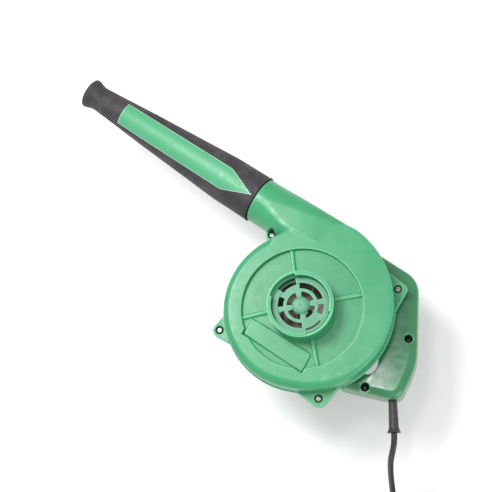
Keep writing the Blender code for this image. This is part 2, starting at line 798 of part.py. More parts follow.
def stator():
    low, high = CORE_LOW_Z, CORE_TOP_Z
    core = make("stator_core", ring(0.0310, 0.0378, low, high, 36), LAMINATION)
    joins = []
    for middle in (90, 270):
        joins.append(make("pole", sector(0.0215, 0.0320, middle - 17, middle + 17, low, high)))
        joins.append(make("shoe", sector(0.0208, 0.0238, middle - 37, middle + 37, low, high)))
    combine(core, joins, "UNION")
    cuts = [
        make("hole", moved(disc(0.0020, low - 0.01, high + 0.01, 12), (x, 0, 0)))
        for x in (0.0344, -0.0344)
    ]
    combine(core, cuts, "DIFFERENCE")
    for name, middle in (("field_coil_upper", 270), ("field_coil_lower", 90)):
        pad = sector(0.0242, 0.0305, middle - 39, middle + 39, low - 0.006, high + 0.006)
        room = sector(0.0200, 0.0360, middle - 19, middle + 19, low - 0.0006, high + 0.0006)
        combine(make(name, pad, COPPER), [make("room", room)], "DIFFERENCE")
    profile = [
        (0.0, 0.0340),
        (0.0016, 0.0340),
        (0.0016, 0.0744),
        (0.0030, 0.0744),
        (0.0030, 0.0765),
        (0.0, 0.0765),
    ]
    for side, x in (("right", 0.0344), ("left", -0.0344)):
        make(f"stator_screw_{side}", moved(turned(profile, 12), (x, 0, 0)), STEEL)


def helix(radius, pitch, turns, wire, count=8):
    """A closed round-wire spring along Z from the origin."""
    rings = []
    total = round(turns * count)
    for index in range(total + 1):
        angle = 2 * math.pi * index / count
        out = Vector((math.cos(angle), math.sin(angle), 0))
        lift = Vector((0, 0, wire))
        centre = out * radius + Vector((0, 0, pitch * index / count))
        rings.append([centre + out * wire, centre + lift, centre - out * wire, centre - lift])
    return loft(rings)


def brushes():
    for side, way in (("right", 1), ("left", -1)):
        middle = Vector((0, 0, BRUSH_Z))
        out = Vector((way, 0, 0))
        tube = box((0.0225, 0.0100, 0.0130), middle + 0.0262 * out)
        holder = make(f"brush_holder_{side}", tube, BRASS)
        room = make("room", box((0.060, 0.0070, 0.0100), middle + 0.0260 * out))
        combine(holder, [room], "DIFFERENCE")
        block = box((0.0130, 0.0060, 0.0090), middle + 0.0184 * out)
        make(f"brush_{side}", block, CARBON)
        spring = aimed(helix(0.0024, 0.0024, 4, 0.00035), middle + 0.0258 * out, out)
        make(f"brush_spring_{side}", spring, STEEL)
        cap = [
            (0.0, 0.0382),
            (0.0078, 0.0382),
            (0.0078, 0.0442),
            (0.0066, 0.0452),
            (0.0, 0.0452),
        ]
        body = make(f"brush_cap_{side}", aimed(turned(cap, 20), middle, out), BLACK)
        groove = make("groove", box((0.0030, 0.0200, 0.0016), middle + 0.0452 * out))
        combine(body, [groove], "DIFFERENCE")


# ---------------------------------------------------------------- controls and clamp


def controls():
    angle = math.degrees(math.atan2(TRIGGER_PRESS.y, TRIGGER_PRESS.x))
    here = TRIGGER_AT + Vector((0, 0, TRIGGER_Z))
    corners = (
        (-0.0090, 0.0105, 0.003),
        (-0.0090, -0.0060, 0.006),
        (-0.0055, -TRIGGER_L / 2, 0.002),
        (0.0070, -TRIGGER_L / 2, 0.0006),
        (0.0070, TRIGGER_L / 2, 0.0006),
        (-0.0040, TRIGGER_L / 2, 0.002),
    )
    finger = prism(rounded(corners), -TRIGGER_H / 2, TRIGGER_H / 2)
    finger.transform(Matrix.Translation(here) @ Matrix.Rotation(math.radians(angle), 4, "Z"))
    trigger = make("trigger", finger, BLACK)
    stop_at = here + 0.0052 * TRIGGER_PRESS
    stop_size = (0.0036, TRIGGER_L + 0.005, TRIGGER_H - 0.001)
    combine(trigger, [make("stop", box(stop_size, stop_at, angle))], "UNION")
    switch_at = here + 0.0181 * TRIGGER_PRESS
    make("switch_body", box((0.0094, 0.0260, 0.0150), switch_at, angle), BLACK)
    lock = [
        (0.0, 0.0722),
        (0.0040, 0.0722),
        (0.0050, 0.0732),
        (0.0050, 0.0789),
        (0.0066, 0.0789),
        (0.0066, 0.0806),
        (0.0, 0.0806),
    ]
    make("lock_button", moved(turned(lock, 16), (LOCK_AT.x, LOCK_AT.y, 0)), BLACK)
    make("capacitor", box((0.0240, 0.0100, 0.0140), (-0.0600, -0.0830, 0.0862), 12), CREAM)


def cord_fittings():
    profile = [
        (0.0, -0.0115),
        (0.0041, -0.0115),
        (0.0041, -0.0092),
        (0.0070, -0.0092),
        (0.0070, -0.0058),
        (0.0041, -0.0058),
        (0.0041, 0.0010),
        (0.0052, ARMOR_L - 0.0045),
        (0.0074, ARMOR_L - 0.0006),
        (0.0070, ARMOR_L),
        (0.0, ARMOR_L),
    ]
    make("cord_armor", aimed(turned(profile, 16), CORD_EXIT, CORD_WAY), RUBBER)


def screw(name, head_z, length, at, head_r=SCREW_HEAD_R, head_h=0.0022):
    """A screw along Z whose head's underside is at head_z."""
    profile = [
        (0.0, head_z - length),
        (0.0012, head_z - length),
        (SCREW_R - 0.0002, head_z - length + 0.0020),
        (SCREW_R - 0.0002, head_z),
        (head_r, head_z),
        (head_r, head_z + head_h * 0.5),
        (head_r * 0.7, head_z + head_h),
        (0.0, head_z + head_h),
    ]
    make(name, moved(turned(profile, 12), (*at, 0)), STEEL)


def fasteners():
    for index, (centre, _, _) in enumerate(EARS):
        screw(f"case_screw_{index + 1}", COUNTERBORE_Z + GAP, 0.0080, centre)
    for index, centre in enumerate(HANDLE_SCREWS):
        screw(f"handle_screw_{index + 1}", 0.1063, 0.0180, centre)
    for index, angle in enumerate(FLANGE_ANGLES):
        screw(f"flange_screw_{index + 1}", BACK_Z + WALL + GAP, 0.0120, polar(0.0475, angle))


# ---------------------------------------------------------------- nozzle


def nozzle():
    outer = [
        (NOZZLE_BASE_R - 0.0004, NOZZLE_X),
        (NOZZLE_BASE_R, NOZZLE_X + 0.0012),
        (NOZZLE_BASE_R - 0.0006, NOZZLE_X + 0.0030),
        (0.0258, 0.1545),
        (0.0224, 0.2063),
        (0.0190, 0.2594),
        (0.0158, 0.3020),
        (0.0138, 0.3290),
        (0.0142, 0.3325),
        (0.0154, 0.3370),
        (0.0166, 0.3405),
        (0.0168, 0.3422),
        (0.0162, NOZZLE_TIP_X),
    ]
    inner = [
        (0.0118, NOZZLE_TIP_X),
        (0.0112, 0.3290),
        (0.0158 - NOZZLE_WALL, 0.3020),
        (0.0224 - NOZZLE_WALL, 0.2063),
        (0.0215, 0.1400),
        (SPIGOT_R + 0.0005, 0.1372),
        (SPIGOT_R + 0.0005, NOZZLE_X),
    ]
    shape = turned(outer + inner, 36)
    make("nozzle", aimed(shape, (0, DUCT_Y, PARTING_Z), (1, 0, 0)), RUBBER)


def nozzle_radius(x):
    """The nozzle's outer radius between its base and its neck."""
    stations = (
        (0.1137, 0.0261),
        (0.1545, 0.0258),
        (0.2063, 0.0224),
        (0.2594, 0.0190),
        (0.3020, 0.0158),
    )
    for (x0, r0), (x1, r1) in zip(stations, stations[1:]):
        if x <= x1:
            return r0 + (r1 - r0) * (x - x0) / (x1 - x0)
    return stations[-1][1]


def nozzle_label():
    """A thin pennant label bent round the nozzle, its point towards the base."""
    tilt = 11.0
    half = 0.0131
    stations = (0.1150, 0.1310, 0.1480, 0.1545, 0.1800, 0.2063, 0.2330, 0.2594, 0.2760, 0.2920)
    rings = []
    for x in stations:
        width = half * min(1.0, max(0.06, (x - 0.1135) / 0.0345))
        radius = nozzle_radius(x)
        spread = math.degrees(width / radius)
        points = []
        for lift, turns in ((0.0004, range(-3, 4)), (0.0009, range(3, -4, -1))):
            for turn in turns:
                y, z = polar(radius + lift + 0.0001, 90 - tilt + spread * turn / 3)
                points.append((x, DUCT_Y + y, PARTING_Z + z))
        rings.append(points)
    make("nozzle_label", loft(rings), LABEL)


# ---------------------------------------------------------------- supply cord

LAY_WAY = Vector((-0.536, 0.844, 0.0)).normalized()  # along the cord where it lies
LAY_SIDE = Vector((-LAY_WAY.y, LAY_WAY.x, 0.0))

COIL_LAYERS = 3
COIL_INNER_R = 0.0279
COIL_OUTER_R = COIL_INNER_R + COIL_LAYERS * 2 * CORD_R
COIL_TURN_R = COIL_OUTER_R - CORD_R
TIE_T = 0.0012
COIL_LOW_Z = 2 * GAP + TIE_T
COIL_TOP_Z = COIL_LOW_Z + COIL_LAYERS * 2 * CORD_R
LAY_END = Vector((-0.1900, 0.1195, COIL_TOP_Z - CORD_R))
MEETING = 0.0252  # from the coil's side to the tangent point of its outer turn
TAIL = 0.0262  # from the outer turn's tangent point to the plug
COIL_AT = LAY_END + MEETING * LAY_WAY + COIL_TURN_R * LAY_SIDE
TIE_AT = 100.0
PLUG_Z = 0.0071
PLUG_AT = COIL_AT + COIL_TURN_R * LAY_WAY + TAIL * LAY_SIDE
CORD_ROUTE = (
    (-0.1441, 0.0503, 0.1000),
    (-0.1484, 0.0568, 0.0994),
    (-0.1512, 0.0630, 0.0962),
    (-0.1531, 0.0690, 0.0892),
    (-0.1553, 0.0752, 0.0782),
    (-0.1588, 0.0814, 0.0640),
    (-0.1628, 0.0872, 0.0498),
    (-0.1672, 0.0930, 0.0372),
    (-0.1722, 0.0990, 0.0272),
    (-0.1780, 0.1058, 0.0206),
    (-0.1838, 0.1124, 0.0182),
    (-0.1900, 0.1195, 0.0178),
)


def smooth_route(points, spacing):
    """Points a fixed distance apart along a Catmull-Rom curve through the route."""
    route = [Vector(point) for point in points]
    ends = [2 * route[0] - route[1], *route, 2 * route[-1] - route[-2]]
    dense = []
    for a, b, c, d in zip(ends, ends[1:], ends[2:], ends[3:]):
        for step in range(20):
            t = step / 20
            bend = 2 * a - 5 * b + 4 * c - d
            twist = 3 * b - a - 3 * c + d
            dense.append(0.5 * (2 * b + (c - a) * t + bend * t**2 + twist * t**3))
    dense.append(route[-1])
    length = sum((q - p).length for p, q in zip(dense, dense[1:]))
    count = round(length / spacing)
    picked = [dense[0]]
    run = 0.0
    for p, q in zip(dense, dense[1:]):
        run += (q - p).length
        if run >= length * len(picked) / count and len(picked) < count:
            picked.append(q)
    picked.append(dense[-1])
    return picked


def cord():
    line = bpy.data.curves.new("power_cord", "CURVE")
    line.dimensions = "3D"
    line.bevel_depth = CORD_R
    line.bevel_resolution = 2
    line.use_fill_caps = True
    path = smooth_route(CORD_ROUTE, 0.014)
    spline = line.splines.new("POLY")
    spline.points.add(len(path) - 1)
    for point, place in zip(spline.points, path):
        point.co = (*place, 1.0)
    item = bpy.data.objects.new("power_cord", line)
    item.data.materials.append(RUBBER)
    bpy.context.scene.collection.objects.link(item)


def cord_end():
    """The coil that holds the rest of the cord, with its tie."""
    coil_at = (COIL_AT.x, COIL_AT.y, 0)
    hoop = ring(COIL_INNER_R, COIL_OUTER_R, COIL_LOW_Z, COIL_TOP_Z, 28)
    make("cord_coil", moved(hoop, coil_at), RUBBER)
    clear = 2 * GAP
    middle_r = (COIL_INNER_R + COIL_OUTER_R) / 2
    middle_z = (COIL_LOW_Z + COIL_TOP_Z) / 2
    across = COIL_OUTER_R - COIL_INNER_R + 2 * clear
    tall = COIL_TOP_Z - COIL_LOW_Z + 2 * GAP
    at = Vector(coil_at) + Vector((*polar(middle_r, TIE_AT), middle_z))
    tie = make("cord_tie", box((across + 2 * TIE_T, 0.0075, tall + 2 * TIE_T), at, TIE_AT), BLACK)
    combine(tie, [make("room", box((across, REACH, tall), at, TIE_AT))], "DIFFERENCE")


def plug():
    """A flat two-pin plug with a tapered sleeve at its cord end."""
    sections = (
        (0.000, 0.0042, 0.0042, 2.0),
        (0.012, 0.0050, 0.0050, 2.0),
        (0.015, 0.0080, 0.0062, 2.4),
        (0.022, 0.0150, 0.0066, 3.2),
        (0.030, 0.0176, 0.0067, 4.0),
        (0.044, 0.0176, 0.0067, 4.0),
        (0.046, 0.0168, 0.0060, 4.0),
    )
    start = Vector((PLUG_AT.x, PLUG_AT.y, PLUG_Z))
    across = LAY_SIDE.cross(Vector((0, 0, 1)))
    rings = []
    for along, wide, tall, power in sections:
        points = []
        for turn in range(16):
            x, z = polar(1.0, 22.5 * turn)
            x = math.copysign(abs(x) ** (2 / power), x) * wide
            z = math.copysign(abs(z) ** (2 / power), z) * tall
            points.append(start + LAY_SIDE * along + across * x + Vector((0, 0, z)))
        rings.append(points)
    make("plug_body", loft(rings), BLACK)
    for name, side in (("plug_pin_left", 1), ("plug_pin_right", -1)):
        pin = [(0.0, 0.0463), (0.0020, 0.0463), (0.0020, 0.0640), (0.0012, 0.0653), (0.0, 0.0653)]
        at = start + across * side * 0.0093
        make(name, aimed(turned(pin, 12), at, LAY_SIDE), STEEL)


def build():
    front_case()
    rear_case()
    inlet_guard()
    housing()
    handle_cover()
    impeller()
    cooling_fan()
    rotor_pieces()
    bearings()
    stator()
    brushes()
    controls()
    cord_fittings()
    fasteners()
    nozzle()
    nozzle_label()
    cord()
    cord_end()
    plug()


build()
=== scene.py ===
"""Looks of the leaf blower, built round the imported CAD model, in metres and degrees.

The visible mouldings are carved from solids, skinned as one even mesh and softened at the edges, so
that they have a real moulding's fillets. The nozzle, label, screws, cord and plug are modelled
directly. Pieces inside the case keep their CAD shapes under procedural materials.
"""

import math

import bmesh
import bpy
from mathutils import Matrix, Vector, geometry


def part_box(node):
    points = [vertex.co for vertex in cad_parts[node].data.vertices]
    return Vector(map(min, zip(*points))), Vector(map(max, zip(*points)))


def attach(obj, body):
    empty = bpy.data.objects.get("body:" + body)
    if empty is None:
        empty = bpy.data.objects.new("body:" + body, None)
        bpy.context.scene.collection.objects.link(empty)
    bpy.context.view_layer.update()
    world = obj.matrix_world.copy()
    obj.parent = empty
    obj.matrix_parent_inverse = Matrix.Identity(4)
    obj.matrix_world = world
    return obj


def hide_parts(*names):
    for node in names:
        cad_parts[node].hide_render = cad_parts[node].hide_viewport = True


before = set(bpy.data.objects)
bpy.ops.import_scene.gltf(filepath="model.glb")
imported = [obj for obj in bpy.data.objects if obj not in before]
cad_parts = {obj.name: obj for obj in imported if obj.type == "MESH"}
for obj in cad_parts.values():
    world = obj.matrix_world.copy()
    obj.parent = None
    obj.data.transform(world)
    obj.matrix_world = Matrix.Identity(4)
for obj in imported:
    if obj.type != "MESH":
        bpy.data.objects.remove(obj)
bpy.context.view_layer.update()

# ------------------------------ sizes that the CAD model also has

GAP = 0.0003  # clearance between pieces that touch
WALL = 0.0024
REACH = 0.02  # how far a cutter runs past the material it cuts
PAST = 0.004  # how far each case half is built past the parting plane, before it is cut there
LEAST_ROUND = 0.0006

BACK_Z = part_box("handle_cover")[0].z
COLLAR_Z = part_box("front_case")[1].z
PARTING_Z = 0.126
FACE_Z = 0.152
RECESS_Z = 0.147
CASE_DEPTH = FACE_Z - PARTING_Z
SEAM = 0.00015  # half of the gap between the two case halves

SCROLL_R = 0.0828
SCROLL_GROWTH = 0.0172
GROWTH_FROM = 115.0
GROWTH_TO = 270.0
TONGUE_AT = 330.0
EDGE_ROUND = 0.008  # front edge on the side away from the handle
EDGE_CRISP = 0.003  # front edge on the handle's side
EDGE_TURN = (120.0, 190.0)  # angles between which the front edge goes from round to crisp
REAR_ROUND = 0.020
REAR_STEP = 0.0015  # the rear half is smaller than the front half by this much all round
LIP_W = 0.0014
LIP_H = 0.0022

DUCT_Y = -0.0764
DUCT_R = 0.0251
DUCT_END_X = 0.1097
DUCT_TOP_Y = DUCT_Y - DUCT_R
DUCT_LOW_Y = DUCT_Y + DUCT_R
DUCT_TOP_RISE = 0.0020  # how far the duct's upper wall climbs from the volute to the nozzle
DUCT_ROOT_Y = -0.063  # the duct's lower wall where it leaves the volute
DUCT_ROUND_X = 0.095  # where the duct's upper side has become fully round
SPIGOT_R = 0.0228
SPIGOT_END_X = 0.134

NOZZLE_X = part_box("nozzle")[0].x
NOZZLE_TIP_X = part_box("nozzle")[1].x
NOZZLE_BASE_R = 0.0267
NOZZLE_WALL = 0.0026

RECESS_R = 0.063
COLLAR_R = 0.0345
COLLAR_NECK_R = 0.0337
BORE_R = 0.0300
BAYONET_ANGLES = (-13.6, 166.4)
RIBS = ((311.1, 0.0038), (222.7, 0.0041), (47.5, -0.0056), (135.0, 0.0040))  # direction, offset
FLANGE_SCREWS_R = 0.0475
FLANGE_ANGLES = (45.0, 135.0, 225.0, 315.0)
RIB_SIZE = (0.0330, 0.0035, 0.0034)
RIB_R = 0.0485  # from the fan axis to the middle of a rib
PAD_MARGIN = 0.0018  # the recess round the raised pad
PAD_CORNERS = ((0.0351, 0.0550), (0.0372, 0.0374), (-0.0344, 0.0347), (-0.0367, 0.0546))

# Openings in the inlet guard: inner and outer radius, angles of the start and the end
GUARD_OPENINGS = (
    (0.0093, 0.0146, -32, 32),
    (0.0093, 0.0146, 58, 122),
    (0.0093, 0.0146, 148, 212),
    (0.0093, 0.0146, 238, 302),
    (0.0180, 0.0237, 52, 128),
    (0.0180, 0.0237, 232, 308),
    (0.0180, 0.0237, 10, 37),
    (0.0180, 0.0237, 190, 217),
    (0.0246, 0.0270, 136, 176),
    (0.0222, 0.0310, -44, -3),
)
GUARD_LOW_Z = 0.1612
GUARD_TOP_Z = 0.1634

# Screwed ears of the two case halves: centre, outer radius, points that tie them to the case
EAR_TOP_Z = 0.1315
EAR_LOW_Z = 0.1200
EARS = (
    ((0.0757, -0.0506), 0.0072, ((0.066, -0.044), (0.070, -0.060))),
    (
        (-0.0680, -0.0740),
        0.0062,
        ((-0.0475, -0.0838), (-0.0740, -0.0812), (-0.0768, -0.0788), (-0.0790, -0.0470)),
    ),
    ((-0.0638, 0.0663), 0.0085, ((-0.034, 0.073), (-0.075, 0.040))),
    ((0.0630, 0.0644), 0.0075, ((0.040, 0.070), (0.068, 0.045))),
)
HEAD_R = 0.0033
COUNTERBORE_R = 0.0045
COUNTERBORE_Z = 0.1284
SCREW_R = 0.0021
SCREW_HOLE_R = SCREW_R + GAP

HOUSING_R = 0.0440
HOUSING_END_R = 0.0410
HOUSING_WALL = 0.0025
HOUSING_TOP_Z = BACK_Z - GAP
FLANGE_R = 0.0530
FLANGE_LOW_Z = 0.094
BEARING_HOLE_R = 0.0113
BRUSH_Z = 0.0245
SHAFT_R = 0.004

HANDLE_FAR_Z = 0.076
HANDLE_NEAR_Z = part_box("handle_cover")[1].z
HANDLE_WALL = 0.0026
# Corners of the handle and of its finger loop: x, y, radius
HANDLE_OUTLINE = (
    (-0.0780, -0.0980, 0.026),
    (-0.1252, -0.0220, 0.060),
    (-0.1318, 0.0205, 0.014),
    (-0.0770, 0.0410, 0.015),
    (-0.0420, 0.0460, 0.015),
    (-0.0150, 0.0380, 0.009),
    (0.0000, -0.0360, 0.009),
    (-0.0060, -0.0985, 0.012),
)
LOOP_OUTLINE = (
    (-0.0640, -0.0560, 0.008),
    (-0.0990, 0.0150, 0.012),
    (-0.0520, 0.0255, 0.008),
    (-0.0500, -0.0380, 0.008),
)
HANDLE_SCREWS = ((-0.1038, -0.0386), (-0.0942, 0.0284))
HANDLE_HEAD_Z = 0.1063

GRIP_LINE = Vector((-0.0350, 0.0710, 0.0)).normalized()
TRIGGER_PRESS = Vector((-GRIP_LINE.y, GRIP_LINE.x, 0.0))
TRIGGER_AT = Vector((-0.0640, -0.0560, 0.0)) + 0.027 * GRIP_LINE
TRIGGER_Z = 0.088
TRIGGER_H = 0.013
TRIGGER_L = 0.028
LOCK_AT = TRIGGER_AT + 0.024 * GRIP_LINE + 0.018 * TRIGGER_PRESS

CORD_R = 0.0032
CORD_EXIT = Vector((-0.1225, 0.0205, BACK_Z))  # where the cord's line leaves the handle
CORD_WAY = Vector((-0.586, 0.810, 0.0)).normalized()
ARMOR_L = 0.036
LAY_WAY = Vector((-0.536, 0.844, 0.0)).normalized()  # along the cord where it lies
LAY_SIDE = Vector((-LAY_WAY.y, LAY_WAY.x, 0.0))
MEETING = 0.0252  # from the end of the visible run to the tangent point of the coil's outer turn
TAIL = 0.0262  # from the outer turn's tangent point to the plug
COIL_TURN_R = 0.0439
COIL_LOW_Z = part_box("cord_coil")[0].z
PLUG_Z = 0.0071
CORD_ROUTE = (
    (-0.1441, 0.0503, 0.1000),
    (-0.1484, 0.0568, 0.0994),
    (-0.1512, 0.0630, 0.0962),
    (-0.1531, 0.0690, 0.0892),
    (-0.1553, 0.0752, 0.0782),
    (-0.1588, 0.0814, 0.0640),
    (-0.1628, 0.0872, 0.0498),
    (-0.1672, 0.0930, 0.0372),
    (-0.1722, 0.0990, 0.0272),
    (-0.1780, 0.1058, 0.0206),
    (-0.1838, 0.1124, 0.0182),
    (-0.1900, 0.1195, 0.0178),
)
LAY_END = Vector(CORD_ROUTE[-1])
COIL_AT = LAY_END + MEETING * LAY_WAY + COIL_TURN_R * LAY_SIDE
PLUG_AT = COIL_AT + COIL_TURN_R * LAY_WAY + TAIL * LAY_SIDE

# ------------------------------ mesh quality

GRAIN = 0.00062  # voxel of the large mouldings
FINE_GRAIN = 0.00036
SOFTEN = 4  # smoothing passes of the large mouldings
KEEP = 0.35  # share of the faces that a moulding keeps
ARC_STEP = 9.0  # degrees between the points of a rounded corner
SCROLL_ANGLES = range(round(TONGUE_AT - 360), round(TONGUE_AT), 3)


# ------------------------------ shape tools


def polar(radius, degrees):
    angle = math.radians(degrees)
    return (radius * math.cos(angle), radius * math.sin(angle))


def ease(value):
    value = min(1.0, max(0.0, value))
    return value * value * (3 - 2 * value)


def counter_clockwise(outline):
    area = sum(a[0] * b[1] - b[0] * a[1] for a, b in zip(outline, outline[1:] + outline[:1]))
    return outline if area > 0 else outline[::-1]


def heading(way):
    """The angle of a direction from +X towards +Y."""
    return math.degrees(math.atan2(way.y, way.x))


def rounded(corners):
    """A closed outline through corners of (x, y, radius), each corner as an arc."""
    outline = []
    for index, (x, y, radius) in enumerate(corners):
        corner = Vector((x, y))
        before = (Vector(corners[index - 1][:2]) - corner).normalized()
        after = (Vector(corners[(index + 1) % len(corners)][:2]) - corner).normalized()
        half = before.angle(after) / 2
        centre = corner + (before + after).normalized() * radius / math.sin(half)
        start = corner + before * radius / math.tan(half) - centre
        end = corner + after * radius / math.tan(half) - centre
        sweep = -start.angle_signed(end)
        steps = max(2, round(abs(math.degrees(sweep)) / ARC_STEP))
        for turn in range(steps + 1):
            outline.append(tuple(centre + Matrix.Rotation(sweep * turn / steps, 2) @ start))
    return counter_clockwise(outline)


def offset(outline, distance):
    """The outline moved outwards by a distance, or inwards by a negative one."""
    moved_points = []
    for index, point in enumerate(outline):
        here = Vector(point)
        into = here - Vector(outline[index - 1])
        out = Vector(outline[(index + 1) % len(outline)]) - here
        first = Vector((into.y, -into.x)).normalized()
        second = Vector((out.y, -out.x)).normalized()
        middle = (first + second).normalized()
        moved_points.append(tuple(here + middle * distance / middle.dot(first)))
    return moved_points


def prism(outline, low, high):
    shape = bmesh.new()
    base = shape.faces.new([shape.verts.new((x, y, low)) for x, y in outline])
    grown = bmesh.ops.extrude_face_region(shape, geom=[base])
    top = [item for item in grown["geom"] if isinstance(item, bmesh.types.BMVert)]
    bmesh.ops.translate(shape, verts=top, vec=(0, 0, high - low))
    return shape


def rimmed_prism(outline, low, high, edge, rim_z, segments):
    """A prism whose edge at the height rim_z is rounded."""
    shape = prism(outline, low, high)
    rim = [item for item in shape.edges if all(abs(end.co.z - rim_z) < 1e-6 for end in item.verts)]
    bmesh.ops.bevel(shape, geom=rim, offset=edge, segments=segments, profile=0.5, affect="EDGES")
    return shape


def turned(profile, steps):
    """A closed profile of (radius, height) points turned about Z."""
    shape = bmesh.new()
    corners = [shape.verts.new((radius, 0, height)) for radius, height in profile]
    sides = [
        shape.edges.new((a, b))
        for a, b in zip(corners, corners[1:] + corners[:1])
        if a.co.x > 0 or b.co.x > 0
    ]
    bmesh.ops.spin(
        shape, geom=corners + sides, cent=(0, 0, 0), axis=(0, 0, 1), angle=2 * math.pi, steps=steps
    )
    bmesh.ops.remove_doubles(shape, verts=shape.verts, dist=1e-6)
    return shape


def disc(radius, low, high, steps):
    return turned([(0, low), (radius, low), (radius, high), (0, high)], steps)


def sector(inner, outer, start, end, low, high):
    """A block between two radii and two angles."""
    steps = max(1, round((end - start) / 4))
    angles = [start + (end - start) * turn / steps for turn in range(steps + 1)]
    outline = [polar(outer, angle) for angle in angles]
    outline += [polar(inner, angle) for angle in reversed(angles)]
    return prism(outline, low, high)


def box(size, at, turn=0.0):
    shape = bmesh.new()
    bmesh.ops.create_cube(shape, size=1.0)
    place = Matrix.Translation(at) @ Matrix.Rotation(math.radians(turn), 4, "Z")
    shape.transform(place @ Matrix.Diagonal((*size, 1.0)))
    return shape


def skin(shape, low, high):
    """Faces between two loops of vertices that have the same count."""
    for index in range(len(low)):
        after = (index + 1) % len(low)
        shape.faces.new((low[index], low[after], high[after], high[index]))


def loft(rings):
    """A solid through closed rings of points that have the same count."""
    shape = bmesh.new()
    loops = [[shape.verts.new(point) for point in points] for points in rings]
    shape.faces.new(loops[0])
    shape.faces.new(loops[-1])
    for low, high in zip(loops, loops[1:]):
        skin(shape, low, high)
    return shape


def aimed(shape, at, way):
    """Moves a shape made along +Z so that it runs from a point in a direction."""
    turn = Vector((0, 0, 1)).rotation_difference(Vector(way)).to_matrix().to_4x4()
    shape.transform(Matrix.Translation(at) @ turn)
    return shape


def moved(shape, at):
    shape.transform(Matrix.Translation(at))
    return shape


def link(name, data):
    """A new object in the scene that shows the data."""
    item = bpy.data.objects.new(name, data)
    bpy.context.scene.collection.objects.link(item)
    return item


def make(name, shape, finish=None, smooth=35.0):
    """Turns a bmesh into a named object in the scene."""
    bmesh.ops.recalc_face_normals(shape, faces=shape.faces)
    if shape.calc_volume(signed=True) < 0:
        bmesh.ops.reverse_faces(shape, faces=shape.faces)
    mesh = bpy.data.meshes.new(name)
    shape.to_mesh(mesh)
    shape.free()
    item = link(name, mesh)
    if finish:
        mesh.materials.append(finish)
    mesh.shade_smooth()
    mesh.set_sharp_from_angle(angle=math.radians(smooth))
    return item


def pillar(name, radius, low, high, place, steps=32):
    """An upright disc round a place (x, y), as an object."""
    return make(name, moved(disc(radius, low, high, steps), (*place, 0)))


def settle(piece):
    """Applies the piece's modifiers to its mesh."""
    graph = bpy.context.evaluated_depsgraph_get()
    graph.update()
    mesh = bpy.data.meshes.new_from_object(piece.evaluated_get(graph))
    piece.modifiers.clear()
    piece.data = mesh


def combine(target, tools, operation):
    """Adds or cuts the tools one by one and removes them."""
    for tool in tools:
        change = target.modifiers.new(tool.name, "BOOLEAN")
        change.operation = operation
        change.solver = "EXACT"
        change.object = tool
        settle(target)
        bpy.data.objects.remove(tool, do_unlink=True)


def mould(piece, finish, grain=GRAIN, soften=SOFTEN):
    """Skins the piece as one even mesh, softens its edges as in a moulding and thins its flats."""
    skin = piece.modifiers.new("skin", "REMESH")
    skin.mode = "VOXEL"
    skin.voxel_size = grain
    edges = piece.modifiers.new("edges", "SMOOTH")
    edges.factor = 0.5
    edges.iterations = soften
    thin = piece.modifiers.new("thin", "DECIMATE")
    thin.ratio = KEEP
    settle(piece)
    piece.data.materials.clear()
    piece.data.materials.append(finish)
    piece.data.shade_smooth()


def bevelled(piece, width):
    """Rounds the piece's sharp edges."""
    rim = piece.modifiers.new("rim", "BEVEL")
    rim.width = width
    rim.segments = 2
    rim.limit_method = "ANGLE"
    rim.angle_limit = math.radians(40.0)
    rim.harden_normals = False
    settle(piece)
    piece.data.shade_smooth()
    piece.data.set_sharp_from_angle(angle=math.radians(50.0))


def stands_for(piece, body, slot, *nodes):
    """The piece rides on a body and replaces CAD nodes. The slot is not used."""
    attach(piece, body)
    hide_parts(*nodes)
    return piece


# ------------------------------ materials


def shade(colour, factor, lift=0.0):
    return tuple(part * factor + lift for part in colour)


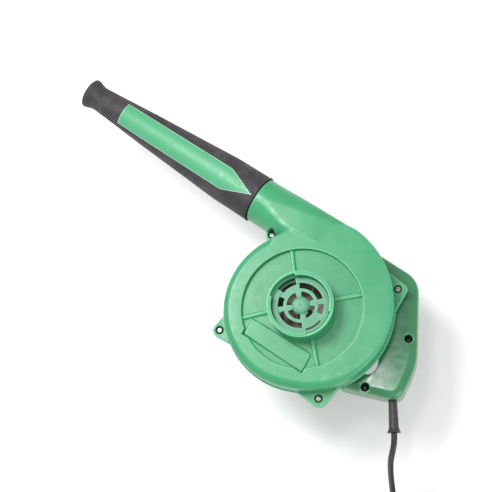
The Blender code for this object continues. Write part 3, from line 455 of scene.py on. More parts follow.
class Surface:
    """A Principled material and the nodes that vary it."""

    def __init__(self, name, colour, roughness, metallic=0.0, specular=0.5):
        self.made = bpy.data.materials.new(name)
        self.made.use_nodes = True
        self.tree = self.made.node_tree
        self.shader = self.tree.nodes["Principled BSDF"]
        self.colour = colour
        self.shader.inputs["Base Color"].default_value = (*colour, 1.0)
        self.shader.inputs["Roughness"].default_value = roughness
        self.shader.inputs["Metallic"].default_value = metallic
        self.shader.inputs["Specular IOR Level"].default_value = specular
        self.place = self.tree.nodes.new("ShaderNodeTexCoord").outputs["Object"]

    def node(self, kind, **inputs):
        """A new node with its inputs set to values or linked to other nodes' outputs."""
        node = self.tree.nodes.new(kind)
        for name, value in inputs.items():
            socket = node.inputs[name.replace("_", " ")]
            if isinstance(value, bpy.types.NodeSocket):
                self.tree.links.new(value, socket)
            else:
                socket.default_value = value
        return node

    def noise(self, scale, detail, stretch=None):
        """Noise from 0 to 1 with about `scale` cells to a metre."""
        place = self.place
        if stretch:
            mapping = self.node("ShaderNodeMapping", Vector=place, Scale=stretch)
            place = mapping.outputs["Vector"]
        clouds = self.node("ShaderNodeTexNoise", Vector=place, Scale=scale, Detail=detail)
        return clouds.outputs["Fac"]

    def bands(self, direction, scale, distortion=0.0):
        """Even waves along an axis."""
        wave = self.node("ShaderNodeTexWave", Vector=self.place, Scale=scale, Distortion=distortion)
        wave.bands_direction = direction
        return wave.outputs["Fac"]

    def between(self, value, low, high, to_low, to_high):
        """The value mapped from one range to another."""
        ends = {"From_Min": low, "From_Max": high, "To_Min": to_low, "To_Max": to_high}
        return self.node("ShaderNodeMapRange", Value=value, **ends).outputs["Result"]

    def blend(self, share, colour):
        """Mixes a colour into the base colour by a share from 0 to 1."""
        mix = self.tree.nodes.new("ShaderNodeMix")
        mix.data_type = "RGBA"
        self.tree.links.new(share, mix.inputs["Factor"])
        base = self.shader.inputs["Base Color"]
        if base.is_linked:
            self.tree.links.new(base.links[0].from_socket, mix.inputs["A"])
        else:
            mix.inputs["A"].default_value = (*self.colour, 1.0)
        mix.inputs["B"].default_value = (*colour, 1.0)
        self.tree.links.new(mix.outputs["Result"], base)

    def tint(self, value, colour, amount):
        """Moves the base colour towards another where the value is high."""
        self.blend(self.between(value, 0.35, 0.65, 0.0, amount), colour)

    def painted_edge_highlight(self, colour, amount):
        """Painted highlight: lightens raised edges, where their rounding catches the light."""
        edge = self.node("ShaderNodeNewGeometry").outputs["Pointiness"]
        self.blend(self.between(edge, 0.505, 0.545, 0.0, amount), colour)

    def painted_shade(self, colour, amount):
        """Painted shade: darkens corners, grooves and recesses, where less light reaches."""
        closed = self.node("ShaderNodeAmbientOcclusion", Distance=0.0035)
        closed.samples = 6
        self.blend(self.between(closed.outputs["AO"], 0.25, 0.70, amount, 0.0), colour)

    def rough(self, value, low, high):
        share = self.between(value, 0.3, 0.7, low, high)
        self.tree.links.new(share, self.shader.inputs["Roughness"])

    def bump(self, value, height, strength):
        relief = self.node("ShaderNodeBump", Distance=height, Strength=strength, Height=value)
        normal = self.shader.inputs["Normal"]
        if normal.is_linked:
            self.tree.links.new(normal.links[0].from_socket, relief.inputs["Normal"])
        self.tree.links.new(relief.outputs["Normal"], normal)


def mottled(name, colour, roughness, tints, gloss, grains, painted_edge_highlight=None, painted_shade=None, **look):
    """A material with clouds of other colours, an uneven gloss and a fine grain.

    A tint holds a noise's settings, a colour and an amount. The gloss holds a noise's settings and
    two roughnesses. A grain holds a noise's settings, a height and a strength.
    """
    surface = Surface(name, colour, roughness, **look)
    for settings, other, amount in tints:
        surface.tint(surface.noise(*settings), other, amount)
    # painted highlight on raised edges
    if painted_edge_highlight:
        surface.painted_edge_highlight(*painted_edge_highlight)
    # painted shade in corners, grooves and recesses
    if painted_shade:
        surface.painted_shade(*painted_shade)
    settings, low, high = gloss
    surface.rough(surface.noise(*settings), low, high)
    for settings, height, strength in grains:
        surface.bump(surface.noise(*settings), height, strength)
    return surface.made


def moulded_green(name, colour, roughness, specular=0.4):
    """Glossy green thermoplastic: cloudy colour and a fine orange-peel skin, with painted
    highlights on raised edges and painted shade in corners and grooves.
    """
    return mottled(
        name,
        colour,
        roughness,
        tints=[
            ((22, 3.0), shade(colour, 1.22, 0.02), 0.35),
            ((60, 4.0), shade(colour, 0.80), 0.28),
        ],
        gloss=((140, 3.0), roughness - 0.06, roughness + 0.08),
        grains=[((900, 2.0), 0.00006, 0.5), ((70, 2.0), 0.00025, 0.25)],
        # painted highlight on raised edges
        painted_edge_highlight=(shade(colour, 1.7, 0.13), 0.8),
        # painted shade in corners, grooves and recesses
        painted_shade=(shade(colour, 0.25), 0.55),
        specular=specular,
    )


def label_film(name, colour):
    return mottled(
        name,
        colour,
        0.42,
        tints=[((55, 3.0), shade(colour, 0.85), 0.3)],
        gloss=((200, 2.0), 0.36, 0.5),
        grains=[((420, 2.0), 0.00004, 0.5)],
    )


def dark_plastic(name, colour, roughness):
    return mottled(
        name,
        colour,
        roughness,
        tints=[((90, 4.0), shade(colour, 1.9), 0.5)],
        gloss=((200, 3.0), roughness - 0.08, roughness + 0.14),
        grains=[((1600, 2.0), 0.00008, 0.6)],
    )


def plated_steel(name, colour):
    """Screw steel with a thin coat: bright flats, with painted shade darkening its grooves and
    recesses.
    """
    return mottled(
        name,
        colour,
        0.3,
        tints=[((500, 4.0), shade(colour, 0.55), 0.55)],
        gloss=((700, 3.0), 0.20, 0.46),
        grains=[((2500, 2.0), 0.00003, 0.6)],
        # painted shade in the cross recess and grooves
        painted_shade=((0.02, 0.02, 0.02), 0.8),
        metallic=1.0,
    )


def banded(name, colour, roughness, waves, dark, gloss, depth, strength):
    """Metal made of layers: dark lines in grooves."""
    surface = Surface(name, colour, roughness, metallic=1.0)
    lines = surface.bands(*waves)
    surface.tint(lines, dark, 0.7)
    settings, low, high = gloss
    surface.rough(surface.noise(*settings), low, high)
    surface.bump(lines, depth, strength)
    return surface.made


CASE_GREEN = moulded_green("case_green", (0.032, 0.262, 0.112), 0.32)
HANDLE_GREEN = moulded_green("handle_green", (0.020, 0.165, 0.062), 0.17, 0.6)
GUARD_GREEN = moulded_green("guard_green", (0.070, 0.270, 0.150), 0.40)
LABEL_GREEN = label_film("label_green", (0.060, 0.310, 0.150))
LABEL_EDGE = label_film("label_edge", (0.36, 0.55, 0.44))
BLACK_PLASTIC = dark_plastic("black_plastic", (0.030, 0.030, 0.032), 0.42)
ARMOR_RUBBER = dark_plastic("armor_rubber", (0.022, 0.022, 0.024), 0.5)
ZINC = plated_steel("zinc_plated_steel", (0.36, 0.34, 0.31))
BLACK_STEEL = plated_steel("black_oxide_steel", (0.030, 0.030, 0.032))
NICKEL = plated_steel("nickel_plate", (0.74, 0.72, 0.68))
# Matt charcoal rubber with a mottled bloom, small pits and faint lengthwise streaks
NOZZLE_RUBBER = mottled(
    "nozzle_rubber",
    (0.028, 0.026, 0.030),
    0.62,
    tints=[((45, 5.0), (0.072, 0.064, 0.071), 0.75), ((160, 4.0), (0.018, 0.016, 0.020), 0.55)],
    gloss=((90, 4.0), 0.48, 0.78),
    grains=[((1300, 3.0), 0.00012, 0.6), ((110, 3.0, (0.4, 1.0, 1.0)), 0.0004, 0.35)],
    specular=0.3,
)
CORD_PVC = mottled(
    "cord_pvc",
    (0.014, 0.014, 0.016),
    0.42,
    tints=[((140, 4.0), (0.040, 0.038, 0.040), 0.5)],
    gloss=((260, 3.0), 0.32, 0.55),
    grains=[((1500, 2.0), 0.00006, 0.6)],
    specular=0.4,
)
STEEL = mottled(
    "ground_steel",
    (0.56, 0.56, 0.58),
    0.28,
    tints=[((300, 3.0), (0.38, 0.38, 0.40), 0.4)],
    gloss=((900, 2.0, (1, 1, 0.1)), 0.18, 0.42),
    grains=[((2600, 2.0, (1, 1, 0.05)), 0.00003, 0.6)],
    metallic=1.0,
)
# Dull brown cast metal, painted lighter than its own colour: painted light for the light that
# reaches the fan through the guard
FAN_METAL = mottled(
    "fan_casting",
    (0.62, 0.50, 0.46),
    0.6,
    tints=[((80, 4.0), (0.34, 0.27, 0.25), 0.6), ((420, 3.0), (0.74, 0.63, 0.58), 0.4)],
    gloss=((260, 3.0), 0.42, 0.72),
    grains=[((900, 3.0), 0.00015, 0.6)],
    metallic=0.1,
)
BRASS = mottled(
    "brass_sheet",
    (0.68, 0.48, 0.18),
    0.32,
    tints=[((200, 3.0), (0.42, 0.27, 0.09), 0.5)],
    gloss=((500, 3.0), 0.24, 0.46),
    grains=[((1800, 2.0), 0.00003, 0.6)],
    metallic=1.0,
)
CARBON = mottled(
    "carbon_block",
    (0.035, 0.035, 0.037),
    0.7,
    tints=[((700, 4.0), (0.10, 0.10, 0.10), 0.5)],
    gloss=((500, 3.0), 0.55, 0.8),
    grains=[((2000, 3.0), 0.00008, 0.8)],
)
CREAM = mottled(
    "cream_case",
    (0.72, 0.64, 0.44),
    0.45,
    tints=[((120, 3.0), (0.60, 0.50, 0.32), 0.5)],
    gloss=((300, 3.0), 0.36, 0.56),
    grains=[((1500, 2.0), 0.00005, 0.5)],
)
# Stacked steel sheets, half a millimetre each, and enamelled copper wire wound close
LAMINATIONS = banded(
    "laminations",
    (0.28, 0.28, 0.29),
    0.45,
    waves=("Z", 320.0),
    dark=(0.12, 0.11, 0.11),
    gloss=((400, 3.0), 0.38, 0.6),
    depth=0.00012,
    strength=0.8,
)
COPPER = banded(
    "copper_wire",
    (0.58, 0.24, 0.10),
    0.35,
    waves=("X", 260.0, 1.2),
    dark=(0.26, 0.08, 0.03),
    gloss=((300, 3.0), 0.25, 0.5),
    depth=0.0002,
    strength=0.9,
)

CAD_FINISHES = {
    "power_cord": CORD_PVC,
    "cooling_fan": BLACK_PLASTIC,
    "switch_body": BLACK_PLASTIC,
    "motor_shaft": STEEL,
    "bearing": STEEL,
    "brush_spring": STEEL,
    "flange_screw": ZINC,
    "stator_screw": ZINC,
    "impeller_nut": BLACK_STEEL,
    "impeller_washer": BLACK_STEEL,
    "armature_core": LAMINATIONS,
    "stator_core": LAMINATIONS,
    "armature_winding": COPPER,
    "field_coil": COPPER,
    "commutator": COPPER,
    "brush_holder": BRASS,
    "brush_left": CARBON,
    "brush_right": CARBON,
    "capacitor": CREAM,
}


def finish_cad_nodes():
    """Gives each CAD node that still shows its procedural material."""
    for name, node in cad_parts.items():
        for part, finish in CAD_FINISHES.items():
            if part in name:
                node.data.materials.clear()
                node.data.materials.append(finish)
                break


# ------------------------------ volute case


def scroll_radius(degrees):
    """Volute radius by the angle from +X towards +Y. Past 270 it closes inside the duct."""
    if degrees <= GROWTH_FROM:
        return SCROLL_R
    if degrees <= GROWTH_TO:
        share = (degrees - GROWTH_FROM) / (GROWTH_TO - GROWTH_FROM)
        return SCROLL_R + SCROLL_GROWTH * share
    share = (degrees - GROWTH_TO) / (TONGUE_AT - GROWTH_TO)
    return SCROLL_R + SCROLL_GROWTH * (1 - ease(share))


def scroll_outline():
    return [polar(scroll_radius(angle), angle) for angle in SCROLL_ANGLES]


def edge_radius(degrees, side):
    """Rounding of the volute's outer edge, on the front (+1) or rear (-1) half."""
    if side < 0:
        return REAR_ROUND
    start, end = EDGE_TURN
    return EDGE_ROUND + (EDGE_CRISP - EDGE_ROUND) * ease((degrees - start) / (end - start))


def scroll_body(name, side, past, inset, steps):
    """Half of the volute from the height past to its face, or its hollow if inset by the wall."""
    face = PARTING_Z + side * (CASE_DEPTH - inset)
    shrink = inset + (REAR_STEP if side < 0 else 0.0)
    rings = [[(*polar(scroll_radius(a) - shrink, a), past) for a in SCROLL_ANGLES]]
    for step in range(steps + 1):
        turn = math.radians(90 * step / steps)
        ring_points = []
        for a in SCROLL_ANGLES:
            edge = max(edge_radius(a, side) - inset, LEAST_ROUND)
            x, y = polar(scroll_radius(a) - shrink - edge * (1 - math.cos(turn)), a)
            ring_points.append((x, y, face - side * edge * (1 - math.sin(turn))))
        rings.append(ring_points)
    return make(name, loft(rings))


def duct_section(x, side, inset):
    """Half of the duct's cross-section at x, on the front (+1) or rear (-1) side."""
    along = ease(x / DUCT_ROUND_X)
    step_in = REAR_STEP * (1 - along) if side < 0 else 0.0
    top = DUCT_TOP_Y + DUCT_TOP_RISE * (1 - along) + inset + step_in
    low = DUCT_ROOT_Y + (DUCT_LOW_Y - DUCT_ROOT_Y) * ease((x - 0.030) / 0.045) - inset
    full = CASE_DEPTH - 0.0004 + 0.0010 * ease(x / 0.050)
    height = full + (DUCT_R - full) * ease((x - 0.050) / 0.050) - inset
    limit = (low - top) / 2 - 1e-5
    corners = []  # the upper and the lower corner's radius, each growing to the duct's own
    for smallest, share in ((0.002, x / DUCT_ROUND_X), (0.003, (x - 0.040) / 0.058)):
        start = smallest if side > 0 else REAR_ROUND
        corner = start + (DUCT_R - start) * min(1.0, max(0.0, share)) - inset
        corners.append(min(max(corner, LEAST_ROUND), height, limit))
    top_corner, low_corner = corners
    steps = 10
    points = [(top, -PAST)]
    for turn in range(steps + 1):
        y, z = polar(top_corner, 180 - 90 * turn / steps)
        points.append((top + top_corner + y, height - top_corner + z))
    for turn in range(steps + 1):
        y, z = polar(low_corner, 90 - 90 * turn / steps)
        points.append((low - low_corner + y, height - low_corner + z))
    points.append((low, -PAST))
    return [(x, y, PARTING_Z + side * z) for y, z in points]


def half_round(x, radius, side):
    """Half of a round cross-section on the duct's line."""
    steps = 24
    points = [(-radius, -PAST)]
    for turn in range(steps + 1):
        points.append(polar(radius, 180 - 180 * turn / steps))
    points.append((radius, -PAST))
    return [(x, DUCT_Y + y, PARTING_Z + side * z) for y, z in points]


def ear_outline(ear):
    """The outline stretched round an ear's boss and its tie points."""
    centre, radius, ties = ear
    points = [Vector(centre) + Vector(polar(radius, 10 * turn)) for turn in range(36)]
    points += [Vector(tie) for tie in ties]
    return [tuple(points[index]) for index in geometry.convex_hull_2d(points)]


def case_half(name, side):
    """The body that both case halves share, with its hollow as a second object."""
    past = PARTING_Z - side * PAST
    body = scroll_body(name, side, past, 0.0, 8)
    stations = [DUCT_END_X * step / 24 for step in range(25)]
    duct = make("duct", loft([duct_section(x, side, 0.0) for x in stations]))
    spigot = make("spigot", loft([half_round(x, SPIGOT_R, side) for x in (0.100, SPIGOT_END_X)]))
    ear_z = EAR_TOP_Z if side > 0 else EAR_LOW_Z
    low, high = sorted((past, ear_z))
    ears = [make("ear", prism(ear_outline(ear), low, high)) for ear in EARS]
    combine(body, [duct, spigot, *ears], "UNION")
    return body, scroll_body("hollow", side, PARTING_Z - side * 2 * PAST, WALL, 3)


def duct_hollows(side):
    duct = [duct_section(x, side, WALL) for x in (0.026, 0.036, 0.048, 0.060, 0.075, 0.095)]
    spigot = [half_round(x, SPIGOT_R - WALL, side) for x in (0.090, 0.150)]
    return [make("duct_hollow", loft(duct)), make("spigot_hollow", loft(spigot))]


def other_side(side):
    """What lies on the other side of the parting plane."""
    centre = PARTING_Z - side * (REACH - SEAM)
    return make("other_side", box((0.5, 0.5, 2 * REACH), (0.05, 0, centre)))


def ear_holes(side):
    middle_z = 0.124
    cuts = []
    for centre, _, _ in EARS:
        if side > 0:
            cuts.append(pillar("head", COUNTERBORE_R, COUNTERBORE_Z, COUNTERBORE_Z + REACH, centre))
        cuts.append(pillar("hole", SCREW_HOLE_R, middle_z - REACH, middle_z + REACH, centre, 16))
    return cuts


def front_shell():
    body, hollow = case_half("front_shell", 1)
    lip = prism(offset(scroll_outline(), LIP_W), PARTING_Z - 0.003, PARTING_Z + LIP_H)
    combine(body, [make("lip", lip)], "UNION")
    floor_z = RECESS_Z - WALL
    pad = counter_clockwise(list(PAD_CORNERS))
    floor = make("floor", disc(RECESS_R + WALL, floor_z, FACE_Z + REACH, 72))
    pad_floor = make("pad_floor", prism(offset(pad, PAD_MARGIN + WALL), floor_z, FACE_Z + REACH))
    combine(hollow, [floor, pad_floor], "DIFFERENCE")
    duct, spigot = duct_hollows(1)
    backing = pillar("screw_backing", 0.0068, PARTING_Z - REACH, FACE_Z, EARS[0][0], 48)
    combine(duct, [backing], "DIFFERENCE")
    combine(body, [hollow, duct, spigot], "DIFFERENCE")
    recess = make("recess", disc(RECESS_R, RECESS_Z, FACE_Z + REACH, 120))
    pad_recess = make("pad_recess", prism(offset(pad, PAD_MARGIN), RECESS_Z, FACE_Z + REACH))
    combine(body, [recess, pad_recess, other_side(1)], "DIFFERENCE")
    collar_profile = [
        (0.0, floor_z - 0.0016), (COLLAR_NECK_R, floor_z - 0.0016),
        (COLLAR_NECK_R, COLLAR_Z - 0.0045), (COLLAR_R, COLLAR_Z - 0.0037), (COLLAR_R, COLLAR_Z),
        (0.0, COLLAR_Z),
    ]
    collar = make("collar", turned(collar_profile, 96))
    raised = make("pad", prism(pad, RECESS_Z - 0.001, RECESS_Z + 0.0018))
    ribs = []
    for angle, aside in RIBS:
        middle = Vector(polar(RIB_R, angle)) + Vector(polar(aside, angle + 90))
        ribs.append(make("rib", box(RIB_SIZE, (*middle, RECESS_Z + 0.0007), angle)))
    combine(body, [raised, *ribs, collar], "UNION")
    cuts = [make("bore", disc(BORE_R, floor_z - REACH, COLLAR_Z + REACH, 96))]
    for middle in BAYONET_ANGLES:
        pocket = sector(0.028, 0.0322, middle - 32, middle + 32, 0.164, COLLAR_Z + REACH)
        cuts.append(make("bayonet", pocket))
    combine(body, cuts + ear_holes(1), "DIFFERENCE")
    mould(body, CASE_GREEN)
    return stands_for(body, "body", "green_shell", "front_case")


def rear_shell():
    body, hollow = case_half("rear_shell", -1)
    combine(body, [hollow, *duct_hollows(-1), other_side(-1)], "DIFFERENCE")
    boss = make("boss", disc(0.0138, 0.0905, BACK_Z + 0.001, 48))
    combine(body, [boss], "UNION")
    cuts = [
        make("seat", disc(BEARING_HOLE_R, 0.0922, 0.0998, 48)),
        make("passage", disc(0.0085, 0.080, 0.110, 32)),
        make("seat_way", disc(0.0096, 0.080, 0.0925, 32)),
    ]
    for turn in range(6):
        start = 60 * turn + 8
        cuts.append(make("vent", sector(0.018, 0.033, start, start + 44, 0.09, 0.11)))
    for angle in FLANGE_ANGLES:
        place = polar(FLANGE_SCREWS_R, angle)
        cuts.append(pillar("hole", SCREW_HOLE_R, 0.090, 0.110, place, 16))
    combine(body, cuts + ear_holes(-1), "DIFFERENCE")
    mould(body, CASE_GREEN)
    return stands_for(body, "body", "green_shell", "rear_case")


def guard():
    """The slotted guard in the inlet, with a domed and dimpled hub."""
    profile = [
        (0.0, GUARD_LOW_Z), (0.0276, GUARD_LOW_Z), (0.0276, 0.1500), (0.0297, 0.1500),
        (0.0297, GUARD_TOP_Z), (0.0240, GUARD_TOP_Z), (0.0236, 0.1629), (0.0087, 0.1629),
        (0.0083, 0.1641), (0.0070, 0.1649), (0.0048, 0.1654), (0.0012, 0.1655),
        (0.0008, 0.1649), (0.0, 0.1649),
    ]
    body = make("guard", turned(profile, 96))
    cuts = []
    for inner, outer, start, end in GUARD_OPENINGS:
        cuts.append(make("opening", sector(inner, outer, start, end, 0.155, 0.17)))
    combine(body, cuts, "DIFFERENCE")
    mould(body, GUARD_GREEN, FINE_GRAIN, 3)
    return stands_for(body, "body", "green_shell", "inlet_guard")


# ------------------------------ motor housing and handle


def cord_way_cuts():
    """The passage through the handle's rear corner that holds the strain relief."""
    neck = aimed(disc(0.0044, -0.012, 0.020, 32), CORD_EXIT, CORD_WAY)
    flange = aimed(disc(0.0074, -0.0095, -0.0055, 32), CORD_EXIT, CORD_WAY)
    return [make("cord_neck", neck), make("cord_flange", flange)]


def housing_shell():
    """The motor housing, in one piece with the handle's far half."""
    profile = [
        (0.0, 0.0), (HOUSING_END_R - 0.002, 0.0), (HOUSING_END_R, 0.002),
        (HOUSING_R, FLANGE_LOW_Z), (FLANGE_R, FLANGE_LOW_Z), (FLANGE_R, HOUSING_TOP_Z + 0.0020),
        (0.0, HOUSING_TOP_Z + 0.0020),
    ]
    body = make("housing_shell", turned(profile, 96))
    outline = rounded(HANDLE_OUTLINE)
    loop = rounded(LOOP_OUTLINE)
    far_z = HANDLE_FAR_Z
    block = rimmed_prism(outline, far_z, HOUSING_TOP_Z + 0.001, 0.005, far_z, 5)
    handle = make("handle", block)
    inner = offset(outline, -HANDLE_WALL)
    pocket = make("pocket", prism(inner, far_z + HANDLE_WALL, BACK_Z + REACH))
    combine(handle, [pocket], "DIFFERENCE")
    top = HOUSING_TOP_Z + 0.0005
    solids = [make("loop_wall", prism(offset(loop, HANDLE_WALL), far_z + 0.0005, top))]
    solids += [pillar("post", 0.0048, far_z + 0.001, top, place) for place in HANDLE_SCREWS]
    combine(handle, solids, "UNION")
    brush_posts = aimed(disc(0.0108, -0.0445, 0.0445, 48), (0, 0, BRUSH_Z), (1, 0, 0))
    combine(body, [handle, make("brush_posts", brush_posts)], "UNION")

    bore = [
        (0.0, 0.003), (HOUSING_END_R - HOUSING_WALL, 0.003),
        (HOUSING_R - HOUSING_WALL, FLANGE_LOW_Z), (HOUSING_R - HOUSING_WALL, BACK_Z + REACH),
        (0.0, BACK_Z + REACH),
    ]
    cuts = [
        make("bore", turned(bore, 96)),
        make("loop", prism(loop, far_z - REACH, BACK_Z + REACH)),
        make("level", box((0.4, 0.4, 0.04), (0, 0, HOUSING_TOP_Z + 0.02))),
        make("cap_holes", aimed(disc(0.0083, -0.06, 0.06, 48), (0, 0, BRUSH_Z), (1, 0, 0))),
    ]
    for turn in range(8):
        start = 45 * turn + 7
        cuts.append(make("end_vent", sector(0.0165, 0.0330, start, start + 31, -0.01, 0.01)))
    for angle in (-66, -40, -14, 12, 38, 64, 118, 244):
        vent = sector(0.036, 0.060, angle - 8, angle + 8, 0.0835, 0.0895)
        cuts.append(make("side_vent", vent))
    for place in [polar(FLANGE_SCREWS_R, angle) for angle in FLANGE_ANGLES] + list(HANDLE_SCREWS):
        cuts.append(pillar("pilot", SCREW_HOLE_R, 0.084, 0.110, place, 16))
    slot_at = TRIGGER_AT + Vector((0, 0, TRIGGER_Z))
    slot_size = (0.010, TRIGGER_L + 0.0008, TRIGGER_H + 0.0008)
    cuts.append(make("trigger_slot", box(slot_size, slot_at, heading(TRIGGER_PRESS))))
    cuts.append(pillar("lock_hole", 0.0053, 0.07, 0.082, LOCK_AT.xy, 40))
    combine(body, [*cuts, *cord_way_cuts()], "DIFFERENCE")
    low, high, outer = 0.0025, 0.0125, 0.0140
    seat = [(BEARING_HOLE_R, low), (outer, low), (outer, high), (BEARING_HOLE_R, high)]
    combine(body, [make("bearing_seat", turned(seat, 64))], "UNION")
    mould(body, HANDLE_GREEN)
    return stands_for(body, "body", "green_shell", "motor_housing")


def handle_shell():
    """The handle's near half: a flat face with a rounded rim, cut back where the case covers it."""
    outline = rounded(HANDLE_OUTLINE)
    near_z = HANDLE_NEAR_Z
    body = make("handle_shell", rimmed_prism(outline, BACK_Z, near_z, 0.008, near_z, 8))
    keep_out = offset(scroll_outline(), -0.0010)
    roof_z = near_z - HANDLE_WALL
    inner = offset(outline, -HANDLE_WALL)
    pocket = make("pocket", rimmed_prism(inner, BACK_Z - REACH, roof_z, 0.006, roof_z, 3))
    limit = prism(offset(keep_out, HANDLE_WALL), BACK_Z - 2 * REACH, near_z + REACH)
    combine(pocket, [make("pocket_limit", limit)], "DIFFERENCE")
    combine(body, [pocket], "DIFFERENCE")
    loop = rounded(LOOP_OUTLINE)
    low, high = BACK_Z + 0.0005, near_z - 0.001
    solids = [make("loop_wall", prism(offset(loop, HANDLE_WALL), low, high))]
    solids += [pillar("post", 0.0062, low, high, place) for place in HANDLE_SCREWS]
    combine(body, solids, "UNION")
    cuts = [
        make("loop", prism(loop, BACK_Z - REACH, near_z + REACH)),
        make("case_room", prism(keep_out, BACK_Z - REACH, near_z + REACH)),
        make("tail", box((0.08, 0.08, 0.08), (0.012, -0.070, BACK_Z))),
    ]
    for place in HANDLE_SCREWS:
        cuts.append(pillar("head", COUNTERBORE_R, HANDLE_HEAD_Z - GAP, 0.140, place))
        cuts.append(pillar("hole", SCREW_HOLE_R, 0.080, 0.140, place, 16))
    combine(body, [*cuts, *cord_way_cuts()], "DIFFERENCE")
    mould(body, HANDLE_GREEN)
    return stands_for(body, "body", "green_shell", "handle_cover")


# ------------------------------ fan


def blade_outline(turn, root, tip, lean, thickness):
    """A backward-curved blade between two radii."""
    steps = 14
    line = []
    for step in range(steps + 1):
        share = step / steps
        line.append(Vector(polar(root + (tip - root) * share, turn + lean * share * share)))
    left, right = [], []
    for index, point in enumerate(line):
        along = (line[min(index + 1, steps)] - line[max(index - 1, 0)]).normalized()
        across = Vector((-along.y, along.x)) * thickness / 2
        left.append(tuple(point + across))
        right.append(tuple(point - across))
    return counter_clockwise(left + right[::-1])


def fan_wheel():
    bore = SHAFT_R + GAP
    profile = [
        (bore, 0.1040), (0.0100, 0.1040), (0.0100, 0.1060), (0.0570, 0.1060), (0.0570, 0.1076),
        (0.0160, 0.1079), (0.0125, 0.1086), (0.0108, 0.1110), (0.0100, 0.1160), (bore, 0.1160),
    ]
    body = make("fan_wheel", turned(profile, 96), FAN_METAL)
    blades = [
        make("blade", prism(blade_outline(40 * turn, 0.022, 0.0562, 34, 0.0016), 0.1070, 0.1390))
        for turn in range(9)
    ]
    combine(body, blades, "UNION")
    bevelled(body, 0.0003)
    return stands_for(body, "rotor", "cast_aluminium", "impeller")


# ------------------------------ screws


def screw(name, node, at, head_z, length, finish):
    """A pan-head screw along Z with a cross recess and a thread of rings."""
    height = 0.0022
    crown = HEAD_R * 0.62
    core = SCREW_R - 0.0006
    outer = SCREW_R - 0.0002
    pitch = 0.0011
    profile = [(0.0, head_z - length), (0.0008, head_z - length + 0.0004)]
    start = head_z - length + 0.0016
    turns = int((head_z - 0.0006 - start) / pitch)
    for turn in range(turns):
        z = start + turn * pitch
        profile += [(core, z), (outer, z + pitch * 0.45), (core, z + pitch * 0.9)]
    profile += [
        (core, head_z), (HEAD_R - 0.0002, head_z), (HEAD_R, head_z + 0.0003),
        (HEAD_R, head_z + height * 0.45), (HEAD_R * 0.93, head_z + height * 0.72),
        (crown + 0.0005, head_z + height * 0.93), (crown, head_z + height),
        (0.0, head_z + height),
    ]
    body = make(name, moved(turned(profile, 32), (*at, 0)), finish)
    top = head_z + height
    cuts = [
        make("slot", box((0.0040, 0.0009, 0.0020), (*at, top), turn)) for turn in (20.0, 110.0)
    ]
    cone = turned([(0.0, top - 0.0016), (0.0014, top + 0.0004), (0.0, top + 0.0004)], 16)
    cuts.append(make("point", moved(cone, (*at, 0))))
    combine(body, cuts, "DIFFERENCE")
    body.data.shade_smooth()
    body.data.set_sharp_from_angle(angle=math.radians(35.0))
    return stands_for(body, "body", "screw_steel", node)


def screws():
    for index, (centre, _, _) in enumerate(EARS):
        name = f"ear_screw_{index + 1}"
        screw(name, f"case_screw_{index + 1}", centre, COUNTERBORE_Z + GAP, 0.0080, ZINC)
    for index, centre in enumerate(HANDLE_SCREWS):
        name = f"grip_screw_{index + 1}"
        screw(name, f"handle_screw_{index + 1}", centre, HANDLE_HEAD_Z, 0.0180, BLACK_STEEL)


# ------------------------------ controls


def trigger_key():
    """The finger key with its five grip grooves, and the stop plate that keeps it in its slot."""
    angle = heading(TRIGGER_PRESS)
    here = TRIGGER_AT + Vector((0, 0, TRIGGER_Z))
    corners = (
        (-0.0090, 0.0105, 0.003),
        (-0.0090, -0.0060, 0.006),
        (-0.0055, -TRIGGER_L / 2, 0.002),
        (0.0070, -TRIGGER_L / 2, 0.0006),
        (0.0070, TRIGGER_L / 2, 0.0006),
        (-0.0040, TRIGGER_L / 2, 0.002),
    )
    finger = prism(rounded(corners), -TRIGGER_H / 2, TRIGGER_H / 2)
    turn = Matrix.Translation(here) @ Matrix.Rotation(math.radians(angle), 4, "Z")
    finger.transform(turn)
    trigger = make("trigger_key", finger)
    stop_at = here + 0.0052 * TRIGGER_PRESS
    stop = box((0.0036, TRIGGER_L + 0.005, TRIGGER_H - 0.001), stop_at, angle)
    combine(trigger, [make("stop", stop)], "UNION")
    grooves = []
    for step in range(5):
        groove = box((0.0012, 0.0009, 0.009), (-0.0092, -0.0030 + 0.0024 * step, 0))
        groove.transform(turn)
        grooves.append(make("groove", groove))
    combine(trigger, grooves, "DIFFERENCE")
    mould(trigger, BLACK_PLASTIC, FINE_GRAIN, 3)
    stands_for(trigger, "trigger", "black_plastic", "trigger")


def lock_key():
    profile = [
        (0.0, 0.0722), (0.0022, 0.0724), (0.0040, 0.0722), (0.0050, 0.0732), (0.0050, 0.0789),
        (0.0066, 0.0789), (0.0066, 0.0806), (0.0, 0.0806),
    ]
    button = make("lock_key", moved(turned(profile, 48), (*LOCK_AT.xy, 0)))
    mould(button, BLACK_PLASTIC, FINE_GRAIN, 2)
    stands_for(button, "lock_button", "black_plastic", "lock_button")


def brush_caps():
    for side, way in (("right", 1), ("left", -1)):
        middle = Vector((0, 0, BRUSH_Z))
        cap = [
            (0.0, 0.0382), (0.0078, 0.0382), (0.0078, 0.0442), (0.0066, 0.0452), (0.0, 0.0452),
        ]
        body = make(f"brush_plug_{side}", aimed(turned(cap, 48), middle, (way, 0, 0)))
        across = middle + Vector((way * 0.0452, 0, 0))
        combine(body, [make("groove", box((0.0030, 0.0200, 0.0016), across))], "DIFFERENCE")
        mould(body, BLACK_PLASTIC, FINE_GRAIN, 2)
        stands_for(body, "body", "black_plastic", f"brush_cap_{side}")


# ------------------------------ nozzle and label

